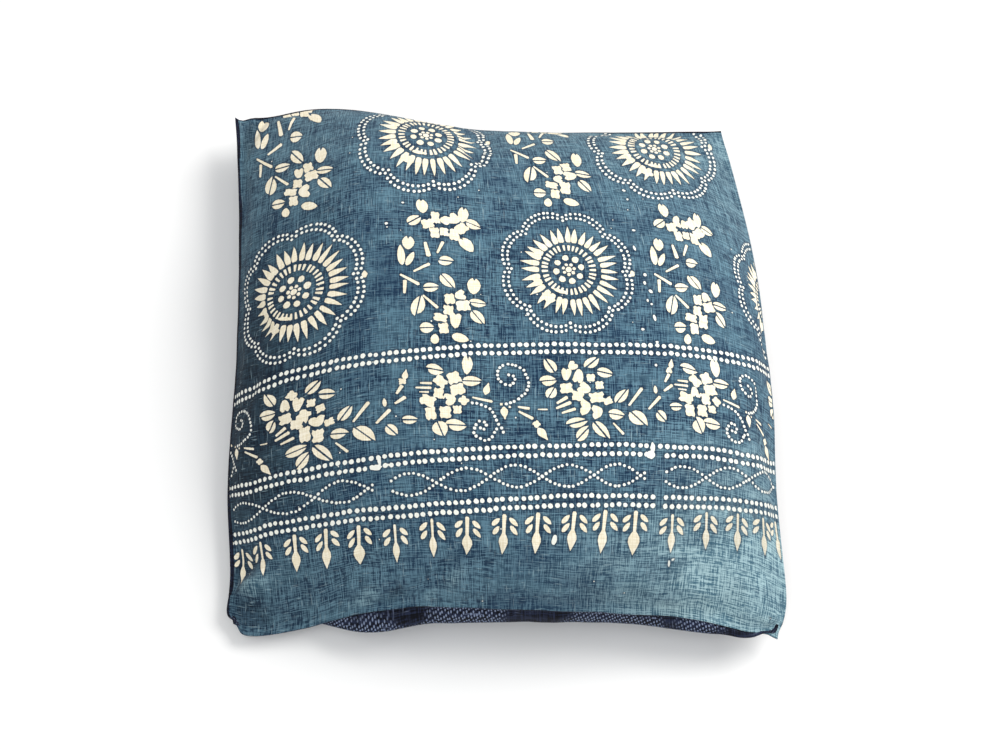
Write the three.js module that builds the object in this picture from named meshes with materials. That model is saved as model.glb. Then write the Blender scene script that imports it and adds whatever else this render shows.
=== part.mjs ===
import * as THREE from "three";

// A square scatter cushion lying on its back: printed front panel up, plain back panel down.
// Sizes are in millimetres, the near side of the cushion faces -Y and +Z is up.

// Half of each cut panel, side to side and near to far
const HALF_X = 250;
const HALF_Y = 256;
// How far the front stands above its seam, and how square that crown is
const CROWN = 69.5;
const CROWN_POWER = 3.5;
// Cloth thickness at the seam, and the gap left between the two panels there
const RIM = 1.0;
const GAP = 0.3;
// Grid steps along each side of a panel
const STEPS = 44;

// Corners of the seam: place, height above the floor, pull outwards and how far that pull reaches
const CORNERS = {
  nearLeft: { x: -238, y: -238, height: 12, pull: -10.5, reach: 11, sx: -1, sy: -1 },
  nearRight: { x: 235, y: -257.5, height: 26, pull: -10, reach: 24, sx: 1, sy: -1 },
  farRight: { x: 207, y: 233.5, height: 29, pull: -2, reach: 25, sx: 1, sy: 1 },
  farLeft: { x: -248, y: 241, height: 43, pull: 1, reach: 20, sx: -1, sy: 1 },
};

// Sides of the seam between two corners: along from -1 to 1, out past the straight line, lift above it
const SIDES = {
  near: {
    from: "nearLeft",
    to: "nearRight",
    outward: [0, -1],
    rows: [
      { along: -1, out: 0, lift: 0 },
      { along: -0.92, out: 2.5, lift: 1 },
      { along: -0.72, out: -2.5, lift: 6 },
      { along: -0.5, out: -13.5, lift: 22 },
      { along: -0.34, out: -17, lift: 34 },
      { along: 0, out: -16, lift: 42 },
      { along: 0.4, out: -16, lift: 36 },
      { along: 0.7, out: -15.5, lift: 22 },
      { along: 0.88, out: -8.5, lift: 9 },
      { along: 1, out: 0, lift: 0 },
    ],
  },
  far: {
    from: "farLeft",
    to: "farRight",
    outward: [0, 1],
    rows: [
      { along: -1, out: 0, lift: 0 },
      { along: -0.9, out: -2.5, lift: -2 },
      { along: -0.5, out: 4, lift: 12 },
      { along: 0, out: -9, lift: 0 },
      { along: 0.5, out: -8, lift: 1 },
      { along: 1, out: 0, lift: 0 },
    ],
  },
  left: {
    from: "nearLeft",
    to: "farLeft",
    outward: [-1, 0],
    rows: [
      { along: -1, out: 0, lift: 0 },
      { along: -0.85, out: -3.5, lift: 1 },
      { along: -0.5, out: -2, lift: 2 },
      { along: 0, out: -6.5, lift: 12 },
      { along: 0.5, out: -6, lift: 15 },
      { along: 1, out: 0, lift: 0 },
    ],
  },
  right: {
    from: "nearRight",
    to: "farRight",
    outward: [1, 0],
    rows: [
      { along: -1, out: 0, lift: 0 },
      { along: -0.5, out: 4.5, lift: 25 },
      { along: 0, out: 7.5, lift: 37 },
      { along: 0.5, out: 9, lift: 8 },
      { along: 1, out: 0, lift: 0 },
    ],
  },
};

// Back cloth: share of the half size where it leaves the floor, its climb to the seam, power of that climb
const WALLS = {
  near: { start: 0.6, climb: 62, power: 1.6 },
  far: { start: 0.5, climb: 40, power: 1.8 },
  left: { start: 0.52, climb: 42, power: 1.8 },
  right: { start: 0.56, climb: 60, power: 1.7 },
};

// Bulge of the back cloth past the near seam, and how far below the seam it is fullest
const BULGE = [
  { along: -1, out: 0 },
  { along: -0.75, out: 1.5 },
  { along: -0.5, out: 23 },
  { along: -0.23, out: 19 },
  { along: 0, out: 14.5 },
  { along: 0.4, out: 12.5 },
  { along: 0.75, out: 20 },
  { along: 0.92, out: 14.5 },
  { along: 1, out: 0 },
];
const BULGE_REACH = 20;

// Main folds of the front: ends on the cut cloth, height of the ridge (a hollow is below 0), half width
const FOLDS = [
  { name: "corner ridge", x1: -262, y1: -205, x2: -205, y2: -188, height: 5, width: 11 },
  { name: "corner hollow", x1: -262, y1: -183, x2: -215, y2: -166, height: -5, width: 12 },
  { name: "corner dimple", x1: -228, y1: -225, x2: -222, y2: -262, height: -4, width: 12 },
  { name: "near ridge", x1: -150, y1: -262, x2: -98, y2: -222, height: 4, width: 10 },
  { name: "near hollow", x1: -122, y1: -262, x2: -75, y2: -218, height: -3, width: 9 },
  { name: "peak ridge", x1: -84, y1: -262, x2: -38, y2: -214, height: 4, width: 9 },
  { name: "right hollow", x1: 186, y1: -262, x2: 208, y2: -215, height: -4, width: 10 },
  { name: "right ridge", x1: 158, y1: -262, x2: 178, y2: -212, height: 3, width: 9 },
  { name: "ear hollow", x1: -226, y1: 262, x2: -244, y2: 205, height: -7, width: 9 },
  { name: "far left ridge", x1: -205, y1: 262, x2: -190, y2: 226, height: 3, width: 12 },
];

// Slopes of a table's columns at its rows, for uneven rows
function slopesOf(at, value) {
  const last = at.length - 1;
  const slopes = new Array(at.length);
  slopes[0] = (value[1] - value[0]) / (at[1] - at[0]);
  slopes[last] = (value[last] - value[last - 1]) / (at[last] - at[last - 1]);
  for (let i = 1; i < last; i += 1) {
    const before = at[i] - at[i - 1];
    const after = at[i + 1] - at[i];
    const rise = before * before * value[i + 1] + (after * after - before * before) * value[i];
    slopes[i] = (rise - after * after * value[i - 1]) / (before * after * (before + after));
  }
  return slopes;
}

// A smooth curve through one column of a table
function curveThrough(rows, column) {
  const at = rows.map((row) => row.along);
  const value = rows.map((row) => row[column]);
  const slope = slopesOf(at, value);
  return (along) => {
    let i = 0;
    while (i < at.length - 2 && along > at[i + 1]) i += 1;
    const width = at[i + 1] - at[i];
    const x = (along - at[i]) / width;
    const x2 = x * x;
    const x3 = x2 * x;
    const ends = (2 * x3 - 3 * x2 + 1) * value[i] + (3 * x2 - 2 * x3) * value[i + 1];
    return ends + ((x3 - 2 * x2 + x) * slope[i] + (x3 - x2) * slope[i + 1]) * width;
  };
}

const sideCurves = {};
for (const [name, side] of Object.entries(SIDES)) {
  sideCurves[name] = {
    from: CORNERS[side.from],
    to: CORNERS[side.to],
    outward: side.outward,
    out: curveThrough(side.rows, "out"),
    lift: curveThrough(side.rows, "lift"),
  };
}
const bulgeAt = curveThrough(BULGE, "out");

// A point of the seam on one side
function seamPoint(name, along) {
  const side = sideCurves[name];
  const w = (along + 1) / 2;
  const out = side.out(along);
  return [
    side.from.x * (1 - w) + side.to.x * w + side.outward[0] * out,
    side.from.y * (1 - w) + side.to.y * w + side.outward[1] * out,
    side.from.height * (1 - w) + side.to.height * w + side.lift(along),
  ];
}

// The surface stretched between the four sides of the seam
function seamPatch(a, b) {
  const wa = (a + 1) / 2;
  const wb = (b + 1) / 2;
  const left = seamPoint("left", b);
  const right = seamPoint("right", b);
  const near = seamPoint("near", a);
  const far = seamPoint("far", a);
  const corner = (c, i) => [c.x, c.y, c.height][i];
  return [0, 1, 2].map((i) => {
    const nearRow = corner(CORNERS.nearLeft, i) * (1 - wa) + corner(CORNERS.nearRight, i) * wa;
    const farRow = corner(CORNERS.farLeft, i) * (1 - wa) + corner(CORNERS.farRight, i) * wa;
    const sides = left[i] * (1 - wa) + right[i] * wa + near[i] * (1 - wb) + far[i] * wb;
    return sides - nearRow * (1 - wb) - farRow * wb;
  });
}

const crown = (s) => 1 - Math.abs(s) ** CROWN_POWER;
const crownSlope = (s) => CROWN_POWER * s ** (CROWN_POWER - 1);

// Where cloth that climbs ends up on plan, so that its length is kept
function planShare(s, climb, half, slope) {
  const parts = 100;
  const steps = [];
  for (let i = 0; i <= parts; i += 1) {
    const rise = climb * slope(i / parts);
    steps.push(Math.sqrt(Math.max(half * half - rise * rise, (0.2 * half) ** 2)));
  }
  const reached = [0];
  for (let i = 0; i < parts; i += 1) reached.push(reached[i] + (steps[i] + steps[i + 1]) / 2);
  const place = Math.abs(s) * parts;
  const i = Math.min(Math.floor(place), parts - 1);
  const share = (reached[i] * (i + 1 - place) + reached[i + 1] * (place - i)) / reached[parts];
  return share * Math.sign(s);
}

// Each corner is blunt or drawn out to a small ear
function pullCorners(point, s, t) {
  for (const corner of Object.values(CORNERS)) {
    const across = (1 - corner.sx * s) * HALF_X;
    const down = (1 - corner.sy * t) * HALF_Y;
    const near = Math.exp(-(across * across + down * down) / corner.reach ** 2);
    point[0] += corner.sx * corner.pull * near * Math.SQRT1_2;
    point[1] += corner.sy * corner.pull * near * Math.SQRT1_2;
  }
  return point;
}

// Height of the folds at a place on the cut cloth, fading to nothing at the seam
function foldHeight(x, y) {
  let height = 0;
  for (const fold of FOLDS) {
    const dx = fold.x2 - fold.x1;
    const dy = fold.y2 - fold.y1;
    const length2 = dx * dx + dy * dy;
    const along = ((x - fold.x1) * dx + (y - fold.y1) * dy) / length2;
    const aside = ((x - fold.x1) * dy - (y - fold.y1) * dx) / Math.sqrt(length2);
    const past = Math.max(along - 0.6, 0) / 0.35;
    height += fold.height * Math.exp(-((aside / fold.width) ** 2) - past * past);
  }
  const toSide = Math.min(HALF_X - Math.abs(x), HALF_Y - Math.abs(y));
  return height * (1 - Math.exp(-((toSide / 7) ** 2)));
}

function frontPlan(s, t) {
  const a = planShare(s, CROWN * crown(t), HALF_X, crownSlope);
  const b = planShare(t, CROWN * crown(s), HALF_Y, crownSlope);
  return pullCorners(seamPatch(a, b), s, t);
}

function frontPoint(s, t) {
  const point = frontPlan(s, t);
  const height = CROWN * crown(s) * crown(t);
  const fold = Math.max(foldHeight(s * HALF_X, t * HALF_Y), -0.6 * height);
  point[2] += RIM + GAP / 2 + height + fold;
  return point;
}

function seamSurfacePoint(s, t, offset) {
  const point = frontPlan(s, t);
  point[2] += offset;
  return point;
}

// Share of the climb to the seam that the back cloth has made
function wallShare(s, wall) {
  return Math.max(0, (Math.abs(s) - wall.start) / (1 - wall.start)) ** wall.power;
}

function wallSlope(wall) {
  const span = 1 - wall.start;
  return (s) => (wall.power / span) * Math.max(0, (s - wall.start) / span) ** (wall.power - 1);
}

function backPoint(s, t) {
  const sideWall = s < 0 ? WALLS.left : WALLS.right;
  const endWall = t < 0 ? WALLS.near : WALLS.far;
  const a = planShare(s, sideWall.climb * crown(t), HALF_X, wallSlope(sideWall));
  const b = planShare(t, endWall.climb * crown(s), HALF_Y, wallSlope(endWall));
  const point = seamPatch(a, b);
  const resting = (1 - wallShare(s, sideWall)) * (1 - wallShare(t, endWall));
  point[2] = (point[2] - RIM - GAP / 2) * (1 - resting);
  const below = ((1 + t) * HALF_Y) / BULGE_REACH;
  point[1] -= bulgeAt(s) * (below * Math.exp(1 - below)) ** 2;
  return pullCorners(point, s, t);
}

// Grid lines, closer together towards the seam
const gridLines = [];
for (let i = 0; i <= STEPS; i += 1) {
  const x = (2 * i) / STEPS - 1;
  gridLines.push(1.3 * x - 0.3 * x ** 3);
}

// A closed solid between an upper and a lower surface on the same grid, with a narrow rim
function solidBetween(upper, lower) {
  const points = [];
  const count = STEPS + 1;
  for (const surface of [upper, lower]) {
    for (const t of gridLines) {
      for (const s of gridLines) points.push(surface(s, t));
    }
  }
  const top = (i, j) => j * count + i;
  const under = (i, j) => count * count + j * count + i;
  const faces = [];
  const distance = (p, q) => Math.hypot(...points[p].map((value, k) => value - points[q][k]));
  const quad = (p, q, r, u) => {
    if (distance(p, r) <= distance(q, u)) faces.push(p, q, r, p, r, u);
    else faces.push(p, q, u, q, r, u);
  };
  for (let j = 0; j < STEPS; j += 1) {
    for (let i = 0; i < STEPS; i += 1) {
      quad(top(i, j), top(i + 1, j), top(i + 1, j + 1), top(i, j + 1));
      quad(under(i, j), under(i, j + 1), under(i + 1, j + 1), under(i + 1, j));
    }
  }
  for (let i = 0; i < STEPS; i += 1) {
    quad(under(i, 0), under(i + 1, 0), top(i + 1, 0), top(i, 0));
    quad(top(i, STEPS), top(i + 1, STEPS), under(i + 1, STEPS), under(i, STEPS));
    quad(top(0, i), top(0, i + 1), under(0, i + 1), under(0, i));
    quad(under(STEPS, i), under(STEPS, i + 1), top(STEPS, i + 1), top(STEPS, i));
  }
  return { points, faces };
}

const frontSolid = solidBetween(frontPoint, (s, t) => seamSurfacePoint(s, t, GAP / 2));
const backSolid = solidBetween((s, t) => seamSurfacePoint(s, t, -GAP / 2), backPoint);

// The origin is under the middle of the cushion, on the floor
const everyPoint = [...frontSolid.points, ...backSolid.points];
const middleOf = (axis) => {
  const values = everyPoint.map((point) => point[axis]);
  return (Math.min(...values) + Math.max(...values)) / 2;
};
const originX = middleOf(0);
const originY = middleOf(1);

function clothMesh(name, solid, colour) {
  const geometry = new THREE.BufferGeometry();
  const places = solid.points.flatMap(([x, y, z]) => [x - originX, y - originY, z]);
  geometry.setAttribute("position", new THREE.Float32BufferAttribute(places, 3));
  geometry.setIndex(solid.faces);
  geometry.computeVertexNormals();
  const mesh = new THREE.Mesh(geometry, new THREE.MeshStandardMaterial({ color: colour, roughness: 0.9 }));
  mesh.name = name;
  return mesh;
}

const cushion = new THREE.Group();
cushion.name = "cushion";
cushion.add(clothMesh("front_panel", frontSolid, 0x3f6384));
cushion.add(clothMesh("back_panel", backSolid, 0x1f2540));

export default cushion;
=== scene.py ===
"""A square scatter cushion lying on its back: printed indigo front, plain navy back."""

import math

import bpy
import numpy as np
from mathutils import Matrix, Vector
from mathutils.geometry import delaunay_2d_cdt


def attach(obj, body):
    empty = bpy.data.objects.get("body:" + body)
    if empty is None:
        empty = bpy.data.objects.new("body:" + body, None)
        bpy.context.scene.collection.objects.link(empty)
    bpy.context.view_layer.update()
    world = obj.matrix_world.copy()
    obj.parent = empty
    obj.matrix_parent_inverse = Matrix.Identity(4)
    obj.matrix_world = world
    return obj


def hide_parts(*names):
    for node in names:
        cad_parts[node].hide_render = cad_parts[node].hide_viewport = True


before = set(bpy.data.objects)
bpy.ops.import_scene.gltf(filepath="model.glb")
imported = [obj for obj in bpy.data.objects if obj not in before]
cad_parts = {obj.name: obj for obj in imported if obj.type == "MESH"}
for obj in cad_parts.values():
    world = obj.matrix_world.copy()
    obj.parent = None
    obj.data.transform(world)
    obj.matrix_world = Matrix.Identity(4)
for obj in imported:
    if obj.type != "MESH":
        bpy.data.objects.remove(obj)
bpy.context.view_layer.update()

MM = 0.001
rng = np.random.default_rng(11)

# Form of the cushion, in millimetres: near side towards -Y, +Z up
HALF_X = 250.0
HALF_Y = 256.0
CROWN = 69.5
CROWN_POWER = 3.5
RIM = 1.0
GAP = 0.3

# Least share of its length that a climbing cloth keeps on plan, and in how many parts its length is added up
LEAST_ON_PLAN = 0.2
CLIMB_PARTS = 100

# Corner of the seam: x, y, height above the floor, pull outwards, its reach, which way it lies
CORNERS = {
    "near left": (-238, -238, 12, -10.5, 11, -1, -1),
    "near right": (235, -257.5, 26, -10, 24, 1, -1),
    "far right": (207, 233.5, 29, -2, 25, 1, 1),
    "far left": (-248, 241, 43, 1, 20, -1, 1),
}

# Side of the seam: its two corners, which way is out, rows of (along, out, lift)
SIDES = {
    "near": ("near left", "near right", (0, -1), (
        (-1, 0, 0), (-0.92, 2.5, 1), (-0.72, -2.5, 6), (-0.5, -13.5, 22), (-0.34, -17, 34), (0, -16, 42),
        (0.4, -16, 36), (0.7, -15.5, 22), (0.88, -8.5, 9), (1, 0, 0))),
    "far": ("far left", "far right", (0, 1), (
        (-1, 0, 0), (-0.9, -2.5, -2), (-0.5, 4, 12), (0, -9, 0), (0.5, -8, 1), (1, 0, 0))),
    "left": ("near left", "far left", (-1, 0), (
        (-1, 0, 0), (-0.85, -3.5, 1), (-0.5, -2, 2), (0, -6.5, 12), (0.5, -6, 15), (1, 0, 0))),
    "right": ("near right", "far right", (1, 0), (
        (-1, 0, 0), (-0.5, 4.5, 25), (0, 7.5, 37), (0.5, 9, 8), (1, 0, 0))),
}

# Back cloth: share of the half size where it leaves the floor, its climb, power of the climb
WALLS = {"near": (0.6, 62, 1.6), "far": (0.5, 40, 1.8), "left": (0.52, 42, 1.8), "right": (0.56, 60, 1.7)}

# Bulge of the back cloth past the near seam: along, out
BULGE = (
    (-1, 0), (-0.75, 1.5), (-0.5, 23), (-0.23, 19), (0, 14.5), (0.4, 12.5), (0.75, 20), (0.92, 14.5),
    (1, 0),
)
BULGE_REACH = 20.0

# Fold of the front: x1, y1, x2, y2 on the cut cloth, height of its ridge, half width
FOLDS = {
    "corner ridge": (-262, -231, -203, -203, 9, 9),
    "corner hollow": (-262, -205, -214, -186, -9, 10),
    "corner dimple": (-236, -228, -214, -250, -8, 11),
    "near ridge": (-138, -262, -104, -226, 6, 10),
    "near hollow": (-112, -262, -84, -224, -5, 8),
    "peak ridge": (-74, -262, -30, -212, 7, 8),
    "peak hollow": (-60, -262, -48, -226, -6, 6),
    "second hollow": (100, -262, 118, -218, -3, 8),
    "right hollow": (188, -262, 204, -214, -4, 9),
    "right ridge": (150, -262, 166, -212, 4, 10),
    "ear hollow": (-226, 262, -244, 205, -7, 9),
    "far left ridge": (-205, 262, -190, 226, 3, 12),
}
# Share of its length at full height, share over which it then fades, how near the seam it fades,
# and how deep a hollow may be as a share of the filling
FOLD_FULL = 0.6
FOLD_FADE = 0.35
FOLD_EDGE = 7.0
HOLLOW_SHARE = 0.6


def curve_through(along, rows):
    """A smooth curve through a table whose first column is the place along."""
    at = np.array([row[0] for row in rows], float)
    value = np.array([row[1:] for row in rows], float)
    slope = np.gradient(value, at, axis=0)
    i = np.clip(np.searchsorted(at, along, side="right") - 1, 0, len(at) - 2)
    width = at[i + 1] - at[i]
    x = ((along - at[i]) / width)[..., None]
    width = width[..., None]
    ends = (2 * x**3 - 3 * x**2 + 1) * value[i] + (3 * x**2 - 2 * x**3) * value[i + 1]
    return ends + ((x**3 - 2 * x**2 + x) * slope[i] + (x**3 - x**2) * slope[i + 1]) * width


def seam_points(name, along):
    start, end, outward, rows = SIDES[name]
    start, end = np.array(CORNERS[start][:3], float), np.array(CORNERS[end][:3], float)
    w = ((along + 1) / 2)[..., None]
    offset = curve_through(along, rows)
    points = start * (1 - w) + end * w
    points[..., 0] += outward[0] * offset[..., 0]
    points[..., 1] += outward[1] * offset[..., 0]
    points[..., 2] += offset[..., 1]
    return points


def seam_patch(a, b):
    """The surface stretched between the four sides of the seam."""
    wa, wb = ((a + 1) / 2)[..., None], ((b + 1) / 2)[..., None]
    corner = {name: np.array(row[:3], float) for name, row in CORNERS.items()}
    near_row = corner["near left"] * (1 - wa) + corner["near right"] * wa
    far_row = corner["far left"] * (1 - wa) + corner["far right"] * wa
    across = seam_points("left", b) * (1 - wa) + seam_points("right", b) * wa
    up = seam_points("near", a) * (1 - wb) + seam_points("far", a) * wb
    return across + up - near_row * (1 - wb) - far_row * wb


def crown(s):
    return 1 - np.abs(s) ** CROWN_POWER


def crown_slope(s):
    return CROWN_POWER * s ** (CROWN_POWER - 1)


def plan_share(s, climb, half, slope):
    """Where cloth that climbs ends up on plan, so that its length is kept."""
    rise = climb[..., None] * slope(np.linspace(0, 1, CLIMB_PARTS + 1))
    step = np.sqrt(np.maximum(half**2 - rise**2, (LEAST_ON_PLAN * half) ** 2))
    start = np.zeros(climb.shape + (1,))
    reached = np.concatenate([start, np.cumsum((step[..., 1:] + step[..., :-1]) / 2, -1)], -1)
    place = np.abs(s) * CLIMB_PARTS
    i = np.clip(place.astype(int), 0, CLIMB_PARTS - 1)[..., None]
    low = np.take_along_axis(reached, i, -1)[..., 0]
    high = np.take_along_axis(reached, i + 1, -1)[..., 0]
    return (low + (high - low) * (place - i[..., 0])) / reached[..., -1] * np.sign(s)


def pull_corners(points, s, t):
    for _, _, _, pull, reach, sx, sy in CORNERS.values():
        away = ((1 - sx * s) * HALF_X) ** 2 + ((1 - sy * t) * HALF_Y) ** 2
        near = pull * np.exp(-away / reach**2) * math.sqrt(0.5)
        points[..., 0] += sx * near
        points[..., 1] += sy * near
    return points


def fold_height(x, y):
    height = np.zeros_like(x)
    for x1, y1, x2, y2, ridge, width in FOLDS.values():
        dx, dy = x2 - x1, y2 - y1
        along = ((x - x1) * dx + (y - y1) * dy) / (dx * dx + dy * dy)
        aside = ((x - x1) * dy - (y - y1) * dx) / math.hypot(dx, dy)
        past = np.maximum(along - FOLD_FULL, 0) / FOLD_FADE
        height += ridge * np.exp(-((aside / width) ** 2) - past**2)
    to_side = np.minimum(HALF_X - np.abs(x), HALF_Y - np.abs(y))
    return height * (1 - np.exp(-((to_side / FOLD_EDGE) ** 2)))


def seam_surface(s, t):
    a = plan_share(s, CROWN * crown(t), HALF_X, crown_slope)
    b = plan_share(t, CROWN * crown(s), HALF_Y, crown_slope)
    return pull_corners(seam_patch(a, b), s, t)


def front_surface(s, t):
    points = seam_surface(s, t)
    height = CROWN * crown(s) * crown(t)
    fold = np.maximum(fold_height(s * HALF_X, t * HALF_Y), -HOLLOW_SHARE * height)
    points[..., 2] += RIM + GAP / 2 + height + fold
    return points


def wall_share(s, wall):
    start, _, power = WALLS[wall]
    return np.maximum(0, (np.abs(s) - start) / (1 - start)) ** power


def back_plan(s, climb_by, half, low, high):
    shares = []
    for wall in (low, high):
        start, climb, power = WALLS[wall]

        def slope(k, start=start, power=power):
            return power / (1 - start) * np.maximum(0, (k - start) / (1 - start)) ** (power - 1)

        shares.append(plan_share(s, climb * climb_by, half, slope))
    return np.where(s < 0, shares[0], shares[1])


def back_surface(s, t):
    a = back_plan(s, crown(t), HALF_X, "left", "right")
    b = back_plan(t, crown(s), HALF_Y, "near", "far")
    points = seam_patch(a, b)
    side = np.where(s < 0, wall_share(s, "left"), wall_share(s, "right"))
    end = np.where(t < 0, wall_share(t, "near"), wall_share(t, "far"))
    points[..., 2] = (points[..., 2] - RIM - GAP / 2) * (1 - (1 - side) * (1 - end))
    below = (1 + t) * HALF_Y / BULGE_REACH
    points[..., 1] -= curve_through(s, BULGE)[..., 0] * (below * np.exp(1 - below)) ** 2
    return pull_corners(points, s, t)


GRADING = 0.3
SOLID_STEPS = 44


def graded(steps):
    """Places from -1 to 1 that lie closer together towards the seam."""
    x = np.linspace(-1, 1, steps + 1)
    return (1 + GRADING) * x - GRADING * x**3


def origin_on_floor():
    """The middle of the cushion's bounding rectangle, on the grid that the solids use."""
    s, t = np.meshgrid(graded(SOLID_STEPS), graded(SOLID_STEPS), indexing="ij")
    both = np.concatenate([front_surface(s, t).reshape(-1, 3), back_surface(s, t).reshape(-1, 3)])
    low, high = both.min(0), both.max(0)
    return np.array([(low[0] + high[0]) / 2, (low[1] + high[1]) / 2, 0.0])


ORIGIN = origin_on_floor()


# Wrinkles: the two panels, sewn at the seam and blown up a little, keep only their fine creases
WRINKLE_STEPS = 84
WRINKLE_CAP = 5.0
SWELL_PASSES = 60
SEAM_SHARE = 0.5
EASE = 1.025
BLOWING_FRAMES = 20
BLOWING = {
    "quality": 6,
    "mass": 0.25,
    "tension_stiffness": 30,
    "compression_stiffness": 30,
    "shear_stiffness": 12,
    "bending_stiffness": 0.6,
    "use_pressure": True,
    "uniform_pressure_force": 4,
    "air_damping": 3,
}


def blurred(field, passes):
    for _ in range(passes):
        padded = np.pad(field, ((1, 1), (1, 1), (0, 0)), mode="edge")
        field = (padded[2:, 1:-1] + padded[:-2, 1:-1] + padded[1:-1, 2:] + padded[1:-1, :-2] + 4 * field) / 8
    return field


def grid_quads(grid):
    """The four point numbers of each square of a grid of them."""
    return np.stack([grid[:-1, :-1], grid[1:, :-1], grid[1:, 1:], grid[:-1, 1:]], -1).reshape(-1, 4)


def sewn_cloth(places, flat, faces):
    """The two panels as one cloth, with threads as long as they were cut."""
    mesh = bpy.data.meshes.new("blown up")
    mesh.from_pydata((places * MM).tolist(), [], faces.tolist())
    cloth = bpy.data.objects.new("blown up", mesh)
    bpy.context.scene.collection.objects.link(cloth)
    cloth.shape_key_add(name="as it lies")
    cut = cloth.shape_key_add(name="as cut")
    cut.data.foreach_set("co", (flat * MM).ravel())
    cut.value = 0.0
    modifier = cloth.modifiers.new("cloth", "CLOTH")
    for name, value in BLOWING.items():
        setattr(modifier.settings, name, value)
    modifier.settings.rest_shape_key = cut
    modifier.settings.effector_weights.gravity = 0
    modifier.collision_settings.use_collision = False
    modifier.point_cache.frame_start = 1
    modifier.point_cache.frame_end = BLOWING_FRAMES
    return cloth


def blown_up(places, flat, faces):
    """How far each point of the sewn panels moves as they are blown up."""
    cloth = sewn_cloth(places, flat, faces)
    scene = bpy.context.scene
    for number in range(1, BLOWING_FRAMES + 1):
        scene.frame_set(number)
    moved = cloth.evaluated_get(bpy.context.evaluated_depsgraph_get()).data
    after = np.empty(len(places) * 3)
    moved.vertices.foreach_get("co", after)
    scene.frame_set(1)
    bpy.data.objects.remove(cloth)
    return after.reshape(-1, 3) / MM - places


def fine_creases(field):
    """The field without its broad swell, and capped."""
    field = field - blurred(field, SWELL_PASSES)
    size = np.linalg.norm(field, axis=-1, keepdims=True)
    return field * WRINKLE_CAP / (WRINKLE_CAP + size)


def wrinkles():
    """How far the fine creases move each point of the front and of the back."""
    n = WRINKLE_STEPS
    line = np.linspace(-1, 1, n + 1)
    s, t = np.meshgrid(line, line, indexing="ij")
    on_seam = (np.abs(s) == 1) | (np.abs(t) == 1)
    upper = np.arange((n + 1) ** 2).reshape(n + 1, n + 1)
    under = upper.copy()
    under[~on_seam] = (n + 1) ** 2 + np.arange((~on_seam).sum())
    places = np.concatenate([front_surface(s, t).reshape(-1, 3), back_surface(s, t)[~on_seam]])
    flat = np.stack([s * HALF_X, t * HALF_Y, np.zeros_like(s)], -1) * EASE
    flat = np.concatenate([flat.reshape(-1, 3), flat[~on_seam]])
    faces = np.concatenate([grid_quads(upper), grid_quads(under)[:, ::-1]])
    moved = blown_up(places, flat, faces)
    front, back = fine_creases(moved[upper]), fine_creases(moved[under])
    seam = (front + back)[on_seam] / 2 * SEAM_SHARE
    front[on_seam] = seam
    back[on_seam] = seam
    return front, back


def sampled(field, s, t):
    """The field at any places, smoothly between its grid points."""
    n = field.shape[0] - 1
    out = np.zeros(s.shape + (3,))
    x, y = (s + 1) / 2 * n, (t + 1) / 2 * n
    i, j = np.clip(x.astype(int), 0, n - 1), np.clip(y.astype(int), 0, n - 1)

    def weights(f):
        """Twice the share of each of the four grid points round a place."""
        return (-f**3 + 2 * f**2 - f, 3 * f**3 - 5 * f**2 + 2, -3 * f**3 + 4 * f**2 + f, f**3 - f**2)

    wx, wy = weights(x - i), weights(y - j)
    for a in range(4):
        for b in range(4):
            near = field[np.clip(i + a - 1, 0, n), np.clip(j + b - 1, 0, n)]
            out += near * (wx[a] * wy[b] / 4)[..., None]
    return out


# Small pulls on the sewn form, both cloths alike: where on the cut cloth, reach across and up, shift
NUDGES = (
    (-187, 252, 48, 40, 0, 8.5, 4),
    (-243, 252, 6, 26, 0, -3, -2),
    (15, 256, 70, 30, 0, 4, 1.5),
    (130, 256, 70, 30, 0, 2.6, 0.5),
    (250, 110, 32, 105, 3.8, 0, 0),
    (250, -45, 30, 45, 2.4, 0, 0),
    (250, -215, 30, 50, 3.2, 0, 0),
    (-250, -110, 28, 105, -2.6, 0, 0),
)
# The same for the back cloth alone, where it swells past the near seam
BACK_NUDGES = (
    (-100, -236, 120, 9, 0, -2.2, 0),
    (60, -236, 80, 9, 0, -2.6, 0),
    (180, -236, 70, 9, 0, -3.2, 0),
)


def nudged(field, pulls):
    """The field with each pull added, fading away from its own place."""
    n = field.shape[0] - 1
    across, up = np.linspace(-HALF_X, HALF_X, n + 1), np.linspace(-HALF_Y, HALF_Y, n + 1)
    u, v = np.meshgrid(across, up, indexing="ij")
    for x, y, reach_x, reach_y, *shift in pulls:
        near = np.exp(-(((u - x) / reach_x) ** 2) - ((v - y) / reach_y) ** 2)
        field = field + near[..., None] * shift
    return field


front_creases, back_creases = (nudged(field, NUDGES) for field in wrinkles())
back_creases = nudged(back_creases, BACK_NUDGES)


def finished_front(s, t):
    return front_surface(s, t) + sampled(front_creases, s, t) - ORIGIN


# Cloth this low lies on the floor
RESTING = 0.01


def finished_back(s, t):
    points = back_surface(s, t)
    resting = points[..., 2] < RESTING
    points += sampled(back_creases, s, t) - ORIGIN
    points[..., 2] = np.where(resting, 0, np.maximum(points[..., 2], 0))
    return points


# The print, in millimetres on the cut cloth: each shape is an outline and how thick its paste lay
THICK, MEDIUM, THIN = 1.0, 0.6, 0.25
shapes = []


def turned(points, x, y, turn):
    c, s = math.cos(math.radians(turn)), math.sin(math.radians(turn))
    across = x + points[:, 0] * c - points[:, 1] * s
    up = y + points[:, 0] * s + points[:, 1] * c
    return np.stack([across, up], -1)


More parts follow.
